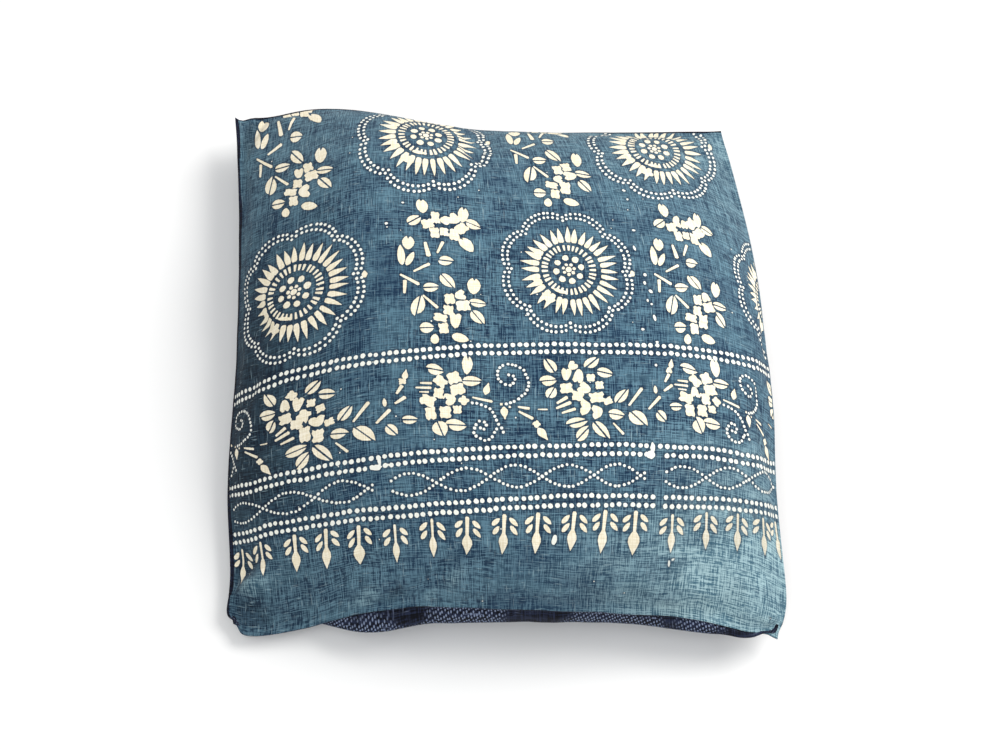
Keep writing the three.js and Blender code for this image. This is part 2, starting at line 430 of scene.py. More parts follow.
def both_sides(along, half_width):
    """An outline from the half widths of a shape that is alike on both sides of its middle line."""
    along, half_width = np.asarray(along, float), np.asarray(half_width, float)
    there = np.stack([along, half_width], -1)
    back = np.stack([along, -half_width], -1)[::-1]
    first, last = (1 if half_width[-1] == 0 else 0), (-1 if half_width[0] == 0 else None)
    return np.concatenate([there, back[first:last]])[::-1]


def profiled(rows, length, width):
    """An outline from a profile: rows of share of the length, half width as a share of the width."""
    along, half = np.array(rows).T
    return both_sides(along * length, half * width)


# Hand work: corners of a dot and of a blot, how ragged they are, how much dots differ, how far petals turn
DOT_CORNERS, BLOT_CORNERS = 8, 12
DOT_RAGGED, BLOT_RAGGED, PETAL_RAGGED = 0.10, 0.16, 0.03
DOT_SIZES = 0.07
DOT_TURN = 0.8
PETAL_TURN = 6


def dot(x, y, across):
    """A round dot, as uneven as paste pushed through a hole."""
    angle = np.arange(DOT_CORNERS) * 2 * math.pi / DOT_CORNERS + rng.uniform(0, DOT_TURN)
    radius = across / 2 * (1 + rng.uniform(-DOT_RAGGED, DOT_RAGGED, DOT_CORNERS))
    radius = radius * (1 + rng.uniform(-DOT_SIZES, DOT_SIZES))
    return [np.stack([x + radius * np.cos(angle), y + radius * np.sin(angle)], -1)]


# Petals cut by hand with a knife, in a box one unit wide and tall
PETAL_SHAPES = (
    (
        (0.50, 0.06), (0.46, 0.34), (0.30, 0.50), (0.08, 0.39), (-0.14, 0.50), (-0.42, 0.43),
        (-0.50, 0.16), (-0.41, -0.10), (-0.50, -0.38), (-0.28, -0.50), (-0.04, -0.41), (0.20, -0.50),
        (0.45, -0.39), (0.40, -0.14),
    ),
    (
        (0.47, 0.10), (0.50, 0.34), (0.30, 0.50), (0.10, 0.45), (0.00, 0.32), (-0.12, 0.46),
        (-0.34, 0.50), (-0.50, 0.30), (-0.46, 0.04), (-0.36, -0.20), (-0.20, -0.40), (0.02, -0.50),
        (0.24, -0.42), (0.38, -0.18),
    ),
    (
        (0.41, 0.00), (0.50, 0.26), (0.40, 0.50), (0.12, 0.41), (-0.02, 0.49), (-0.22, 0.40),
        (-0.48, 0.48), (-0.49, 0.20), (-0.37, -0.02), (-0.50, -0.26), (-0.34, -0.49), (-0.06, -0.43),
        (0.16, -0.50), (0.42, -0.42), (0.49, -0.20),
    ),
)


def petal(x, y, wide, tall, turn=0):
    """A blot with blunt corners and sides that dip."""
    points = np.array(PETAL_SHAPES[rng.integers(len(PETAL_SHAPES))])
    for _ in range(rng.integers(4)):
        points = np.stack([-points[:, 1], points[:, 0]], -1)
    points = points + rng.uniform(-PETAL_RAGGED, PETAL_RAGGED, points.shape)
    return [turned(points * [wide, tall], x, y, turn + rng.uniform(-PETAL_TURN, PETAL_TURN))]


def blot(x, y, wide, tall, turn=0):
    """A round-cornered smear of paste."""
    angle = np.arange(BLOT_CORNERS) * 2 * math.pi / BLOT_CORNERS
    radius = 0.5 * (1 + rng.uniform(-BLOT_RAGGED, BLOT_RAGGED, BLOT_CORNERS))
    return [turned(np.stack([radius * np.cos(angle) * wide, radius * np.sin(angle) * tall], -1), x, y, turn)]


# Profiles of the knife-cut shapes: share of the length, half width as a share of the width
WHOLE_LEAF = ((-0.5, 0.0), (-0.44, 0.24), (-0.28, 0.44), (-0.02, 0.5), (0.22, 0.4), (0.4, 0.2), (0.5, 0.0))
STROKE = ((-0.5, 0.0), (-0.46, 0.32), (0.0, 0.42), (0.44, 0.5), (0.5, 0.0))
BUD = (
    (-0.5, 0.0), (-0.4, 0.22), (-0.24, 0.46), (-0.08, 0.5), (0.1, 0.38), (0.3, 0.17), (0.44, 0.09),
    (0.5, 0.0),
)
# The same for one half of a leaf, as a share of that half
HALF_LEAF = ((-0.5, 0.0), (-0.4, 0.56), (-0.22, 0.93), (0.0, 1.0), (0.2, 0.8), (0.37, 0.4), (0.5, 0.0))
LOBED_SIDE = ((-0.5, 0.0), (-0.42, 0.22), (-0.2, 0.42), (0.08, 0.5), (0.3, 0.4), (0.42, 0.28), (0.5, 0.12))

# How leaves vary: midrib, paste past the leaf's edge, slip of the halves, length of each half
MIDRIB = (0.9, 1.5)
LEAF_EDGE = 0.3
LEAF_SLIP = 0.06
UPPER_HALF = (0.92, 1.04)
LOWER_HALF = (0.84, 0.98)
# The same for a lobed leaf: its width, its notch along and aside, its other lobe
LOBED_WIDTH = (0.9, 1.1)
NOTCH_ALONG = (0.24, 0.34)
NOTCH_ASIDE = 0.05
OTHER_LOBE = (0.88, 1.0)


def half_leaf(length, width, side, gap):
    share_along, share_out = np.array(HALF_LEAF).T
    along = share_along * length
    bulge = share_out * (width - gap) / 2
    outer = np.stack([along, side * (gap / 2 + bulge + LEAF_EDGE)], -1)
    inner = np.stack([along[-2:0:-1], np.full(len(along) - 2, side * gap / 2)], -1)
    return np.concatenate([outer, inner])


def leaf(x, y, length, width, turn=0):
    """A leaf in two halves with the midrib left blue between them."""
    slip = length * rng.uniform(-LEAF_SLIP, LEAF_SLIP)
    gap = rng.uniform(*MIDRIB)
    upper = half_leaf(length * rng.uniform(*UPPER_HALF), width, 1, gap) + [slip, 0]
    lower = half_leaf(length * rng.uniform(*LOWER_HALF), width, -1, gap) - [slip, 0]
    return [turned(upper, x, y, turn), turned(lower, x, y, turn)]


def whole_leaf(x, y, length, width, turn=0):
    return [turned(profiled(WHOLE_LEAF, length, width), x, y, turn)]


def lobed_leaf(x, y, length, width, turn=0):
    """A solid leaf whose far end is notched into two tips."""
    side = np.array(LOBED_SIDE) * [1, rng.uniform(*LOBED_WIDTH)]
    notch = np.array([(rng.uniform(*NOTCH_ALONG), rng.uniform(-NOTCH_ASIDE, NOTCH_ASIDE))])
    other = side[:0:-1] * [rng.uniform(*OTHER_LOBE), -1]
    outline = np.concatenate([side, notch, other]) * [length, width]
    return [turned(outline[::-1], x, y, turn)]


def stroke(x, y, length, width, turn=0):
    """A stem or vein: a straight run with soft ends, a little thicker at its far end."""
    return [turned(profiled(STROKE, length, width), x, y, turn)]


def bud(x, y, length, width, turn=0):
    """A drop that swells soon after its start and draws out to a point."""
    return [turned(profiled(BUD, length, width), x, y, turn)]


KINDS = {"petal": petal, "leaf": leaf, "whole": whole_leaf, "lobed": lobed_leaf, "stroke": stroke, "bud": bud}

# Bunches, listed shape by shape: kind, x, y, length, width, turn (a petal's are its width and height)
WIDE_BUNCH = (
    ("petal", -5.9, 23.7, 7.4, 8, 45), ("petal", -11, 16.3, 8, 10.5, 0),
    ("petal", -1.2, 15.1, 8.4, 12, -10), ("petal", 8.5, 13.9, 6.8, 6.8, 0),
    ("petal", 3.3, 4.3, 9.8, 9.8, -25), ("petal", 15.2, 7.6, 6.8, 6.8, 10),
    ("petal", -10.9, 4.6, 10.4, 9, 8), ("petal", -1.9, -1.8, 9.8, 8.6, 0),
    ("petal", 12.8, -2.8, 12, 9, 5), ("petal", 21.5, -5.6, 7.4, 6.2, 20),
    ("petal", 3.9, -11.4, 8.4, 13.4, 0), ("petal", 13.2, -15, 8.6, 11.4, 0),
    ("leaf", 9.7, 27, 13.7, 8, 42), ("leaf", 19.7, 18.4, 13.5, 7.8, -12),
    ("leaf", -23.5, 24, 14, 8.5, 122), ("leaf", -25, 10.9, 14, 8.5, 6), ("leaf", -22.7, 0.7, 11, 8, 60),
    ("leaf", -2.9, -24, 17.5, 8, 16), ("leaf", 1.5, -33, 15.2, 8, 48),
    ("leaf", 15.8, -29.9, 19, 8.5, -51), ("leaf", 28.1, -16.8, 13.2, 8, -8),
    ("leaf", 45.5, -19.6, 17.5, 11, -43), ("leaf", 32.7, -1, 15, 7.5, 53),
    ("leaf", 64.4, -17.2, 10.5, 7.5, -48), ("leaf", 76.7, -8.3, 10.5, 6.2, 4),
    ("stroke", -14.4, -5.6, 10.5, 3, 33), ("stroke", -13.3, -9.9, 13.5, 3, 24),
    ("stroke", -9.3, -14.5, 12, 2.6, 19), ("stroke", -29.8, -13.6, 8, 1.4, 0),
    ("stroke", 43.7, -1.4, 19.5, 2.8, 54), ("stroke", 29.7, -28.4, 12.8, 2.2, -48),
    ("stroke", 58.9, -6, 15.3, 2.8, 49), ("stroke", 70.5, 7.3, 9.6, 2.8, 39),
    ("stroke", 69.9, 16, 8.5, 2.8, 62), ("whole", 59.9, 5.3, 7, 3, 95), ("petal", 71.9, 22.9, 5, 5.2, 0),
    ("bud", 73.8, 28.6, 9, 4.2, 82),
)

TALL_BUNCH = (
    ("petal", -4.5, 14.7, 11.5, 8.5, -38), ("petal", 6.2, 18.5, 11, 10, 25),
    ("petal", 9, 8.7, 12.5, 9.5, 15), ("petal", -6, 4.7, 8, 9, 0), ("petal", -14.7, -1.7, 12.5, 9.5, -20),
    ("petal", 3.7, -0.1, 8.5, 10, 0), ("petal", 13.9, -0.1, 7, 7.5, 45),
    ("petal", -12.4, -12.2, 9, 11, 5), ("petal", -0.7, -11, 9.5, 10.5, 0),
    ("petal", 8.8, -8.1, 7.4, 7, 0), ("stroke", -1.3, 2.3, 5, 2, 60), ("leaf", -8.8, 24.6, 15, 8.5, -8),
    ("lobed", 16.8, 30.5, 17, 8.5, 88), ("leaf", 20.4, 16.8, 15.5, 8, 2),
    ("leaf", -5, -24.7, 14, 12, -68), ("leaf", 7.9, -20.9, 16.5, 9, 0), ("bud", 32.3, 10.9, 11, 5.5, 75),
    ("stroke", -16, 12.8, 10, 2.2, 0), ("stroke", -18, 8.9, 13, 2.3, 0),
    ("stroke", -17.5, 5.3, 8, 1.6, 0), ("stroke", 28.7, 1.6, 16.8, 2.2, -10),
    ("bud", 45.9, -9, 11, 6, -85), ("petal", 43.6, -1.7, 2.2, 2.2, 0), ("petal", 50.2, -3.8, 2, 2, 0),
    ("stroke", 61.2, -4.4, 9.6, 2.5, -8), ("stroke", 62.8, -10.5, 13.5, 2.6, -28),
    ("petal", 71, -17.8, 5.6, 5.4, 45), ("bud", 75.8, -26, 13, 6.5, -52),
)

# Scrolls of small dots beside the tall bunch: a spiral as its middle and its angle and radius, then two lines
SPIRAL_MIDDLE = (51.7, 18.8)
SPIRAL = (
    (-102, 21), (-77, 17), (-52, 15.5), (-22, 14.4), (11, 12.9), (44, 13), (75, 13.2), (104, 14.2),
    (135, 13.7), (166, 11.4), (190, 8.8), (214, 6.5), (246, 4.9), (300, 2.8), (365, 2.8), (434, 4),
    (473, 5.3),
)
SCROLLS = (
    (
        (20.8, -1.7), (24.7, -2), (28.1, -2.8), (32.4, -4.7), (36, -7.7), (37.3, -10.7), (39.7, -14.8),
        (40.8, -17.7), (43.2, -21), (44.7, -24.7),
    ),
    (
        (39.7, -22.2), (37.9, -25.5), (36.2, -28.7), (33, -31.7), (28.8, -31.8), (25.4, -30.4),
        (22.3, -28), (21.4, -24.5), (22.8, -20.6), (25.4, -17.1), (28.6, -16.4), (31.4, -19.3),
        (30.8, -23.2), (26.8, -22.3),
    ),
)

SPRAY = (
    ("petal", -4, 46.5, 7.8, 13, 5), ("petal", -10.5, 39, 11, 9.5, 15), ("petal", 3.5, 45, 7.6, 9.5, 0),
    ("petal", 11.5, 47.5, 10.5, 12.5, -35), ("petal", 17.5, 38.5, 12, 10, 40),
    ("petal", -5, 30.5, 8.2, 11, 5), ("petal", 3, 32.5, 7.6, 8.6, 0), ("petal", 11.5, 31, 8.6, 12.4, 0),
    ("petal", 6.7, -34, 8.7, 10, 5), ("petal", 15, -29.5, 9, 9.5, 20), ("petal", 17.5, -39, 12, 10, 12),
    ("petal", 5.5, -44.5, 8.5, 9, 0), ("petal", -1, -52, 11.5, 7.5, -8), ("petal", 11, -53.5, 9.5, 14, 0),
    ("petal", 1.5, -61.5, 8.4, 10, 0), ("lobed", -15, 57, 15, 10, 97), ("leaf", -22, 41.5, 14, 9, 38),
    ("lobed", 19.5, 53.5, 17, 9, 84), ("leaf", 27.5, 44, 14.5, 9, -22),
    ("lobed", 21.5, 22, 17, 10.5, 128), ("leaf", 4, 3, 12.4, 9, 0), ("lobed", -27, 17.6, 13.5, 11, 88),
    ("whole", -33, 5.5, 20, 6.5, 95), ("whole", -25.5, 2, 15, 5.5, 65), ("leaf", -8.5, -24.5, 14, 8, 8),
    ("leaf", 5, -17, 17, 9.5, -50), ("lobed", 26.5, -19.5, 16, 10.5, 86),
    ("leaf", 29.5, -35.5, 14.5, 7, -4), ("leaf", 29, -49, 15, 9, -52), ("whole", 15, -69, 14, 8, -12),
    ("whole", -5.5, -71.5, 9, 7, 85), ("leaf", -12, -62, 12, 9, 5), ("leaf", -19, -42, 19, 10.5, 78),
    ("stroke", -0.5, 16, 14, 2.8, 68), ("stroke", -11.5, 12.5, 15, 4, -78),
    ("stroke", -16, -6, 16.5, 2.8, 33), ("stroke", -26, -18, 19, 3, -30),
    ("stroke", -30, -25, 13, 3.4, 88), ("stroke", -9, -38, 17, 2.8, -42),
)


# A drawn-out stencil is stretched more and more above this height of its own
DRAWN_FROM = -45


class Setting:
    """Where a stencil was laid down: its middle, its two directions, and how the cloth drew it out."""

    def __init__(self, x, y, across=(1.0, 0.0), up=(0.0, 1.0), drawn=0.0):
        self.middle = np.array([x, y], float)
        self.across, self.up = np.array(across, float), np.array(up, float)
        self.drawn = drawn

    def place(self, points):
        x, y = points[:, :1], points[:, 1:]
        y = y + self.drawn * np.maximum(y - DRAWN_FROM, 0) ** 2
        return self.middle + x * self.across + y * self.up


def lay(outlines, paste, setting=None):
    for outline in outlines:
        shapes.append((outline if setting is None else setting.place(outline), paste))


def lay_bunch(rows, setting):
    for kind, x, y, length, width, turn in rows:
        lay(KINDS[kind](x, y, length, width, turn), THICK, setting)


def smooth_path(points, steps=16):
    """A rounded line through a few points."""
    points = np.asarray(points, float)
    ends = np.concatenate([[2 * points[0] - points[1]], points, [2 * points[-1] - points[-2]]])
    k = np.linspace(0, 1, steps, endpoint=False)[:, None]
    parts = []
    for a, b, c, d in zip(ends, ends[1:], ends[2:], ends[3:]):
        bend = (a - 2.5 * b + 2 * c - d / 2) * k**2
        bend_back = (1.5 * (b - c) + (d - a) / 2) * k**3
        parts.append(b + (c - a) * k / 2 + bend + bend_back)
    return np.concatenate(parts + [points[-1:]])


def spiral():
    turn = np.radians([row[0] for row in SPIRAL])
    radius = np.array([row[1] for row in SPIRAL])
    return np.stack([radius * np.cos(turn), radius * np.sin(turn)], -1) + SPIRAL_MIDDLE


# How far a dot strays from its even place: along its line, across, up
DOT_SLIP = 0.22
DOT_STRAY = (0.15, 0.2)


def dots_along(path, pitch, across, paste, gaps=()):
    """Dots at an even pitch along a line of points."""
    step = np.linalg.norm(np.diff(path, axis=0), axis=1)
    reach = np.concatenate([[0], np.cumsum(step)])
    count = max(int(round(reach[-1] / pitch)), 1)
    for k in range(count + 1):
        at = min(max(k * reach[-1] / count + rng.normal(0, DOT_SLIP), 0), reach[-1])
        x, y = np.interp(at, reach, path[:, 0]), np.interp(at, reach, path[:, 1])
        if any(low < x < high for low, high in gaps):
            continue
        lay(dot(x + rng.normal(0, DOT_STRAY[0]), y + rng.normal(0, DOT_STRAY[1]), across), paste)


# First line of each double row of dots, as the stencils were laid by hand: across, up
UPPER_ROW = (
    (-252, -39), (-240, -38), (-220, -37), (-200, -35), (-180, -33.6), (-160, -34.7), (-140, -36.7),
    (-120, -38.8), (-100, -39.5), (-80, -39.3), (-60, -37.3), (-40, -34.4), (-20, -30.8), (0, -29.5),
    (40, -27.7), (80, -27.4), (120, -26.6), (160, -25), (180, -23.2), (200, -21), (220, -17), (252, -11),
)
MIDDLE_ROW = (
    (-252, -124), (-220, -123.3), (-200, -121.5), (-176, -120.7), (-160, -121.8), (-139, -123.1),
    (-120, -125.2), (-100, -125.1), (-60, -122.8), (-40, -120.6), (-20, -118.2), (0, -116.2), (20, -115),
    (40, -114.4), (60, -113.6), (80, -112.5), (120, -112.4), (140, -113), (160, -111.5), (180, -110.2),
    (200, -108.6), (220, -105.6), (252, -98),
)
LOWER_ROW = (
    (-252, -168), (-240, -167), (-220, -164.9), (-200, -161.7), (-180, -161.6), (-160, -161.8),
    (-140, -163.6), (-120, -164.8), (-100, -165.9), (-80, -165.9), (-60, -164.3), (-40, -162.4),
    (-20, -160.1), (0, -157.8), (20, -156.6), (40, -155), (60, -154), (80, -153.7), (100, -153),
    (120, -153.5), (140, -154.3), (160, -153.6), (180, -151.3), (200, -149), (220, -145.3), (252, -137),
)
CHAIN_ROW = (
    (-252, -150.5), (-203, -146.6), (-154.4, -146), (-109, -148.7), (-91, -148.8), (-52.2, -147.2),
    (-8.2, -139.8), (33.4, -139.1), (75, -137), (112.6, -136.9), (128, -137.5), (164, -136),
    (203.9, -128.8), (252, -119),
)
ROW_DOT = 4.1
ROW_PITCH = 5.55
# Where one setting of the stencil ends and the next begins
MIDDLE_JOINTS = ((117.0, 127.0),)
LOWER_JOINTS = ((123.0, 130.0),)
# The chain, setting by setting: where it starts and ends, then where its two waves cross
CHAINS = (
    (-243, -104, (-251.6, -203, -154.4, -109, -65)),
    (-91, 117, (-96, -52.4, -8.7, 32.6, 73.8, 111.4, 151)),
    (130, 247, (126.2, 166.4, 206.3, 245.4, 285)),
)
CHAIN_SWING = 8.8
CHAIN_DOT = 2.5
CHAIN_PITCH = 3.9
# Double rows: first line, how far below it the second lies, joints
DOUBLE_ROWS = ((UPPER_ROW, 6.7, ()), (MIDDLE_ROW, 7.3, MIDDLE_JOINTS), (LOWER_ROW, 7.2, LOWER_JOINTS))
# Ends of the rows as printed, ends of their tables, and a place past the panel either way
ROW_END = 247.5
TABLE_END = 252
PAST_PANEL = 400


def height_of(row, x):
    return curve_through(np.asarray(x, float), row)[..., 0]


def double_rows():
    across = np.linspace(-ROW_END, ROW_END, 300)
    for row, spacing, gaps in DOUBLE_ROWS:
        for k in range(2):
            up = height_of(row, across) - k * spacing
            dots_along(np.stack([across, up], -1), ROW_PITCH, ROW_DOT, THIN, gaps)


def chain():
    """Two waves of small dots that cross and leave a row of lenses."""
    for start, end, crossings in CHAINS:
        left_out = ((-PAST_PANEL, start), (end, PAST_PANEL))
        for low, high in zip(crossings, crossings[1:]):
            across = np.linspace(low, high, 40)
            middle = height_of(CHAIN_ROW, np.clip(across, -TABLE_END, TABLE_END))
            swell = CHAIN_SWING * np.sin((across - low) * math.pi / (high - low))
            for way in (-1, 1):
                line = np.stack([across, middle + way * swell], -1)
                dots_along(line, CHAIN_PITCH, CHAIN_DOT, THIN, left_out)


# Hanging border: tip of the bud, height of the stem's top, width of the bud, how far left the tip hangs
DROPS = (
    (-237.7, -211.1, -179.8, 6, 2), (-210.4, -204.9, -174.7, 6, 0), (-179.9, -203.8, -173, 8, 2.6),
    (-152.6, -205.6, -173.4, 8, 3.4), (-123.7, -209.6, -176.5, 10, 3), (-90.9, -209.5, -179.1, 5.8, 0.6),
    (-59.5, -206.1, -175.4, 6.2, 0.6), (-31.6, -203.9, -172.6, 8.5, 2.2), (-1.5, -202.1, -169.5, 7.7, 2.6),
    (26, -200.2, -167.7, 7.4, 2.5), (55, -197.2, -166.3, 7.7, 3.2), (80.4, -198.6, -164.7, 7.4, 3),
    (107.4, -199.8, -165, 10, 1), (140, -198.3, -167.7, 6, -0.6), (170.4, -194.6, -164, 6, -1.6),
    (199.1, -191.5, -160.2, 6.6, -1.8), (226.2, -188, -156.2, 6, -3), (247.6, -183, -151, 6.5, -3),
)


# Profile of a drop: share of the length from its top, half width as a share of the stem's or the bud's
DROP_STEM = ((0.0, 0.3), (0.04, 0.5), (0.3, 0.42), (0.46, 0.4))
DROP_BUD = ((0.52, 0.3), (0.6, 0.46), (0.7, 0.5), (0.8, 0.36), (0.92, 0.14), (1.0, 0.0))
# Stem of a drop with a narrow bud and with a wide one, and where a bud counts as wide
NARROW_STEM, WIDE_STEM, WIDE_BUD = 2.3, 3.4, 7
# Leaves of a drop: how far down and how steep each pair is, how far out, their length and width
DROP_LEAVES = ((6, 42), (12.6, 50))
DROP_LEAF_OUT = 7.3
DROP_LEAF_LENGTH = (8.4, 9.4)
DROP_LEAF_WIDTH = 3.9
DROP_LEAF_TURN = 4


def drops():
    """A stem and bud between two pairs of drooping leaves, eight to a setting."""
    for tip_x, tip_y, top_y, bud_width, lean in DROPS:
        top_x = tip_x + lean
        length = math.hypot(tip_x - top_x, tip_y - top_y)
        way = math.degrees(math.atan2(tip_y - top_y, tip_x - top_x))
        stem = WIDE_STEM if bud_width > WIDE_BUD else NARROW_STEM
        along = np.array([row[0] for row in (*DROP_STEM, *DROP_BUD)]) * length
        half = [row[1] * stem for row in DROP_STEM] + [row[1] * bud_width for row in DROP_BUD]
        lay([turned(both_sides(along, half), top_x, top_y, way)], THICK)
        for side in (-1, 1):
            for down, turn in DROP_LEAVES:
                droop = -side * (turn + rng.uniform(-DROP_LEAF_TURN, DROP_LEAF_TURN))
                place = (top_x + side * DROP_LEAF_OUT, top_y - down)
                lay(whole_leaf(*place, rng.uniform(*DROP_LEAF_LENGTH), DROP_LEAF_WIDTH, droop), THICK)


# Middle of the ring of flames and of what is inside it, and where the stencil let paste run together
WHEEL = (2.6, -0.6)
HUB = (1.4, 0.0)
SMEARS = ((-17.5, -26.5, 13, 7, -38), (-7, -20.5, 12, 3.4, -18), (-27, -10, 6, 8, 12), (57, -1.5, 4.2, 6, 0))


# Scalloped rings of dots: radius at a cusp, radius at a lobe, how many dots
SCALLOPS = ((51.5, 58.5, 88), (48, 53.7, 80))
SCALLOP_DOT = 2.7
LOBES = 8
LOBE_ROUNDNESS = 0.6
# Flame-shaped petals of the wheel: how many, start, length, width, where they are widest, raggedness, turn
FLAMES = 32
FLAME = ((0.0, 0.28), (0.08, 0.45), (0.28, 0.5), (0.5, 0.4), (0.78, 0.2), (1.0, 0.0))
FLAME_START = 27.2
FLAME_LENGTH = 15.8
FLAME_WIDTH = 4.9
WIDER_BY = 0.6
WIDEST_AT = 150
FLAME_RAGGED = 0.22
FLAME_TURN = 5
# Short strokes inside the flames: how many, start, length, width
DASHES = 33
DASH_START = 21
DASH_LENGTH = 6
DASH_WIDTH = 2.5
# Dots of the hub: radius of the ring, how many, size of a dot
HUB_RINGS = ((11.2, 8, 5.9), (4.8, 7, 3.2), (0, 1, 5.4))
HUB_TURN = 0.2


def scallops(setting):
    for cusp, lobe, count in SCALLOPS:
        for k in range(count):
            angle = 2 * math.pi * (k + rng.uniform(-0.1, 0.1)) / count
            radius = cusp + (lobe - cusp) * abs(math.sin(LOBES / 2 * angle)) ** LOBE_ROUNDNESS
            lay(dot(radius * math.cos(angle), radius * math.sin(angle), SCALLOP_DOT), THIN, setting)


def flames(setting):
    for k in range(FLAMES):
        angle = 360 * (k + rng.uniform(-0.1, 0.1)) / FLAMES
        length = FLAME_LENGTH * rng.uniform(0.9, 1.08)
        width = FLAME_WIDTH + WIDER_BY * math.cos(math.radians(angle - WIDEST_AT)) + rng.uniform(-0.3, 0.4)
        flame = profiled(FLAME, length, width)
        flame = flame + rng.uniform(-FLAME_RAGGED, FLAME_RAGGED, flame.shape)
        flame = turned(flame, FLAME_START, 0, rng.uniform(-FLAME_TURN, FLAME_TURN))
        lay([turned(flame, *WHEEL, angle)], THICK, setting)


def dashes(setting):
    for k in range(DASHES):
        angle = 360 * (k + rng.uniform(-0.12, 0.12)) / DASHES
        length = DASH_LENGTH * rng.uniform(0.9, 1.08)
        dash = stroke(DASH_START, 0, length, DASH_WIDTH * rng.uniform(0.9, 1.1))[0]
        lay([turned(dash, *HUB, angle)], MEDIUM, setting)


def hub(setting):
    for radius, count, across in HUB_RINGS:
        for k in range(count):
            angle = 2 * math.pi * k / count + HUB_TURN
            x, y = HUB[0] + radius * math.cos(angle), HUB[1] + radius * math.sin(angle)
            lay(dot(x, y, across), MEDIUM, setting)


def medallion(setting):
    """A scalloped double ring of dots round a wheel of pointed petals."""
    scallops(setting)
    flames(setting)
    dashes(setting)
    hub(setting)
    for x, y, wide, tall, turn in SMEARS:
        lay(blot(x, y, wide, tall, turn), THICK, setting)


MEDALLIONS = (
    Setting(-172.2, 38.3, (1.104, -0.052), (-0.057, 1.085)),
    Setting(57.8, 45.1, (0.94, 0.0), (0.0, 1.1)),
    Setting(260, 63.9, (0.9, 0.1), (0.0, 1.15)),
    Setting(-57.0, 192.8, (1.083, 0.29), (-0.133, 1.285)),
    Setting(165.2, 209.2, (1.125, 0.406), (-0.03, 1.167)),
)
SPRAYS = (
    Setting(-45.6, 44.2),
    Setting(161.2, 61.5, (0.9, 0.04), (0.04, 1.095)),
    Setting(-186.6, 203.3, (1.13, -0.33), (-0.13, 1.15), 0.0022),
    Setting(58.2, 196.8, (0.98, -0.07), (0.069, 1.09), 0.0027),
)
WIDE_BUNCHES = (
    Setting(-163.3, -79.8, (1.2, -0.105), (0.0, 1.01)),
    Setting(63.8, -70.5),
    Setting(270, -57.6, (1.0, -0.1)),
)
TALL_BUNCHES = (
    Setting(-42, -78.5),
    Setting(162.5, -68.7, (0.92, -0.012), (-0.073, 0.98)),
    Setting(-289, -81.2, (1.2, -0.1), (-0.05, 0.95)),
)
# Stray blots where the paste crept under the stencil's edge: x, y, width, height, turn
BLOTS = (
    (119.6, -120, 7, 7, 10), (121, -114, 4, 8, 0), (-100.5, -133, 8.7, 5, 5), (-97.5, -128, 3, 8, 0),
    (-91.5, -131.8, 6.5, 1.8, 0), (41.7, -188.6, 4, 8, -15), (139.4, -206.5, 2, 5.4, 8),
    (142.6, -203.4, 2.6, 1.8, 20), (122, 43.4, 3, 3.2, 0), (121, 34.4, 2.4, 3.8, 0),
    (125.4, 26, 3.2, 4, 20), (122, 16.5, 1.8, 3, 0), (125, 13, 2, 2.4, 0), (126.5, 0, 2.4, 6, 10),
    (116, -12, 2.6, 2.4, 0), (116, 72, 2, 6, 10), (118, 140.7, 3.4, 2.4, 0), (119, 130, 2, 2.4, 0),
    (118, 93, 3, 2.4, 0), (-91, 81, 3, 2.6, 30), (-77, 103, 2.4, 2, 0), (125, -44, 2.4, 2.4, 0),
    (127, -23, 2.6, 2, 0), (-210, -42, 2.4, 1.6, 0),
)
# Crumbs of paste: how many, how far from the middle, how large
CRUMBS = 70
CRUMB_PLACES = (240, 250)
CRUMB_SIZES = (0.7, 1.4)
SCROLL_DOT = 2.6
SCROLL_PITCH = 3.6


def lay_print():
    double_rows()
    chain()
    drops()
    for setting in MEDALLIONS:
        medallion(setting)
    for setting in SPRAYS:
        lay_bunch(SPRAY, setting)
    for setting in WIDE_BUNCHES:
        lay_bunch(WIDE_BUNCH, setting)
    for setting in TALL_BUNCHES:
        lay_bunch(TALL_BUNCH, setting)
        for path in (spiral(), *SCROLLS):
            dots_along(setting.place(smooth_path(path)), SCROLL_PITCH, SCROLL_DOT, THIN)
    for x, y, wide, tall, turn in BLOTS:
        lay(blot(x, y, wide, tall, turn), THIN)
    for _ in range(CRUMBS):
        x, y = (rng.uniform(-far, far) for far in CRUMB_PLACES)
        lay(dot(x, y, rng.uniform(*CRUMB_SIZES)), THIN)


lay_print()


# The front panel: a flat triangle mesh cut along the print's outlines, then laid on the form
MESH_PITCH = 4.0
EDGE = 0.24
MARGIN = 2.0
# Least area of a shape, how far the lattice keeps from the outlines, and how near points are merged
LEAST_AREA = 0.4
LATTICE_CLEARANCE = 1.1
MERGED = 1e-4
# How far from a shape its depth is worked out, and the depth of what is further out
DEPTH_REACH = 2.0
FAR_OUTSIDE = -4.0


def inside_panel(shape):
    return (np.abs(shape[:, 0]).min() < HALF_X - MARGIN) and (np.abs(shape[:, 1]).min() < HALF_Y - MARGIN)


def clipped(shape):
    limit = np.array([HALF_X - MARGIN, HALF_Y - MARGIN])
    return np.clip(shape, -limit, limit)


def offset_outline(shape, distance):
    """The outline moved outwards by a small distance."""
    before, after = np.roll(shape, 1, axis=0), np.roll(shape, -1, axis=0)
    tangent = after - before
    length = np.maximum(np.linalg.norm(tangent, axis=1, keepdims=True), 1e-6)
    normal = np.stack([tangent[:, 1], -tangent[:, 0]], -1) / length
    return shape + normal * distance


def signed_area(shape):
    x, y = shape[:, 0], shape[:, 1]
    return 0.5 * float(np.sum(x * np.roll(y, -1) - np.roll(x, -1) * y))


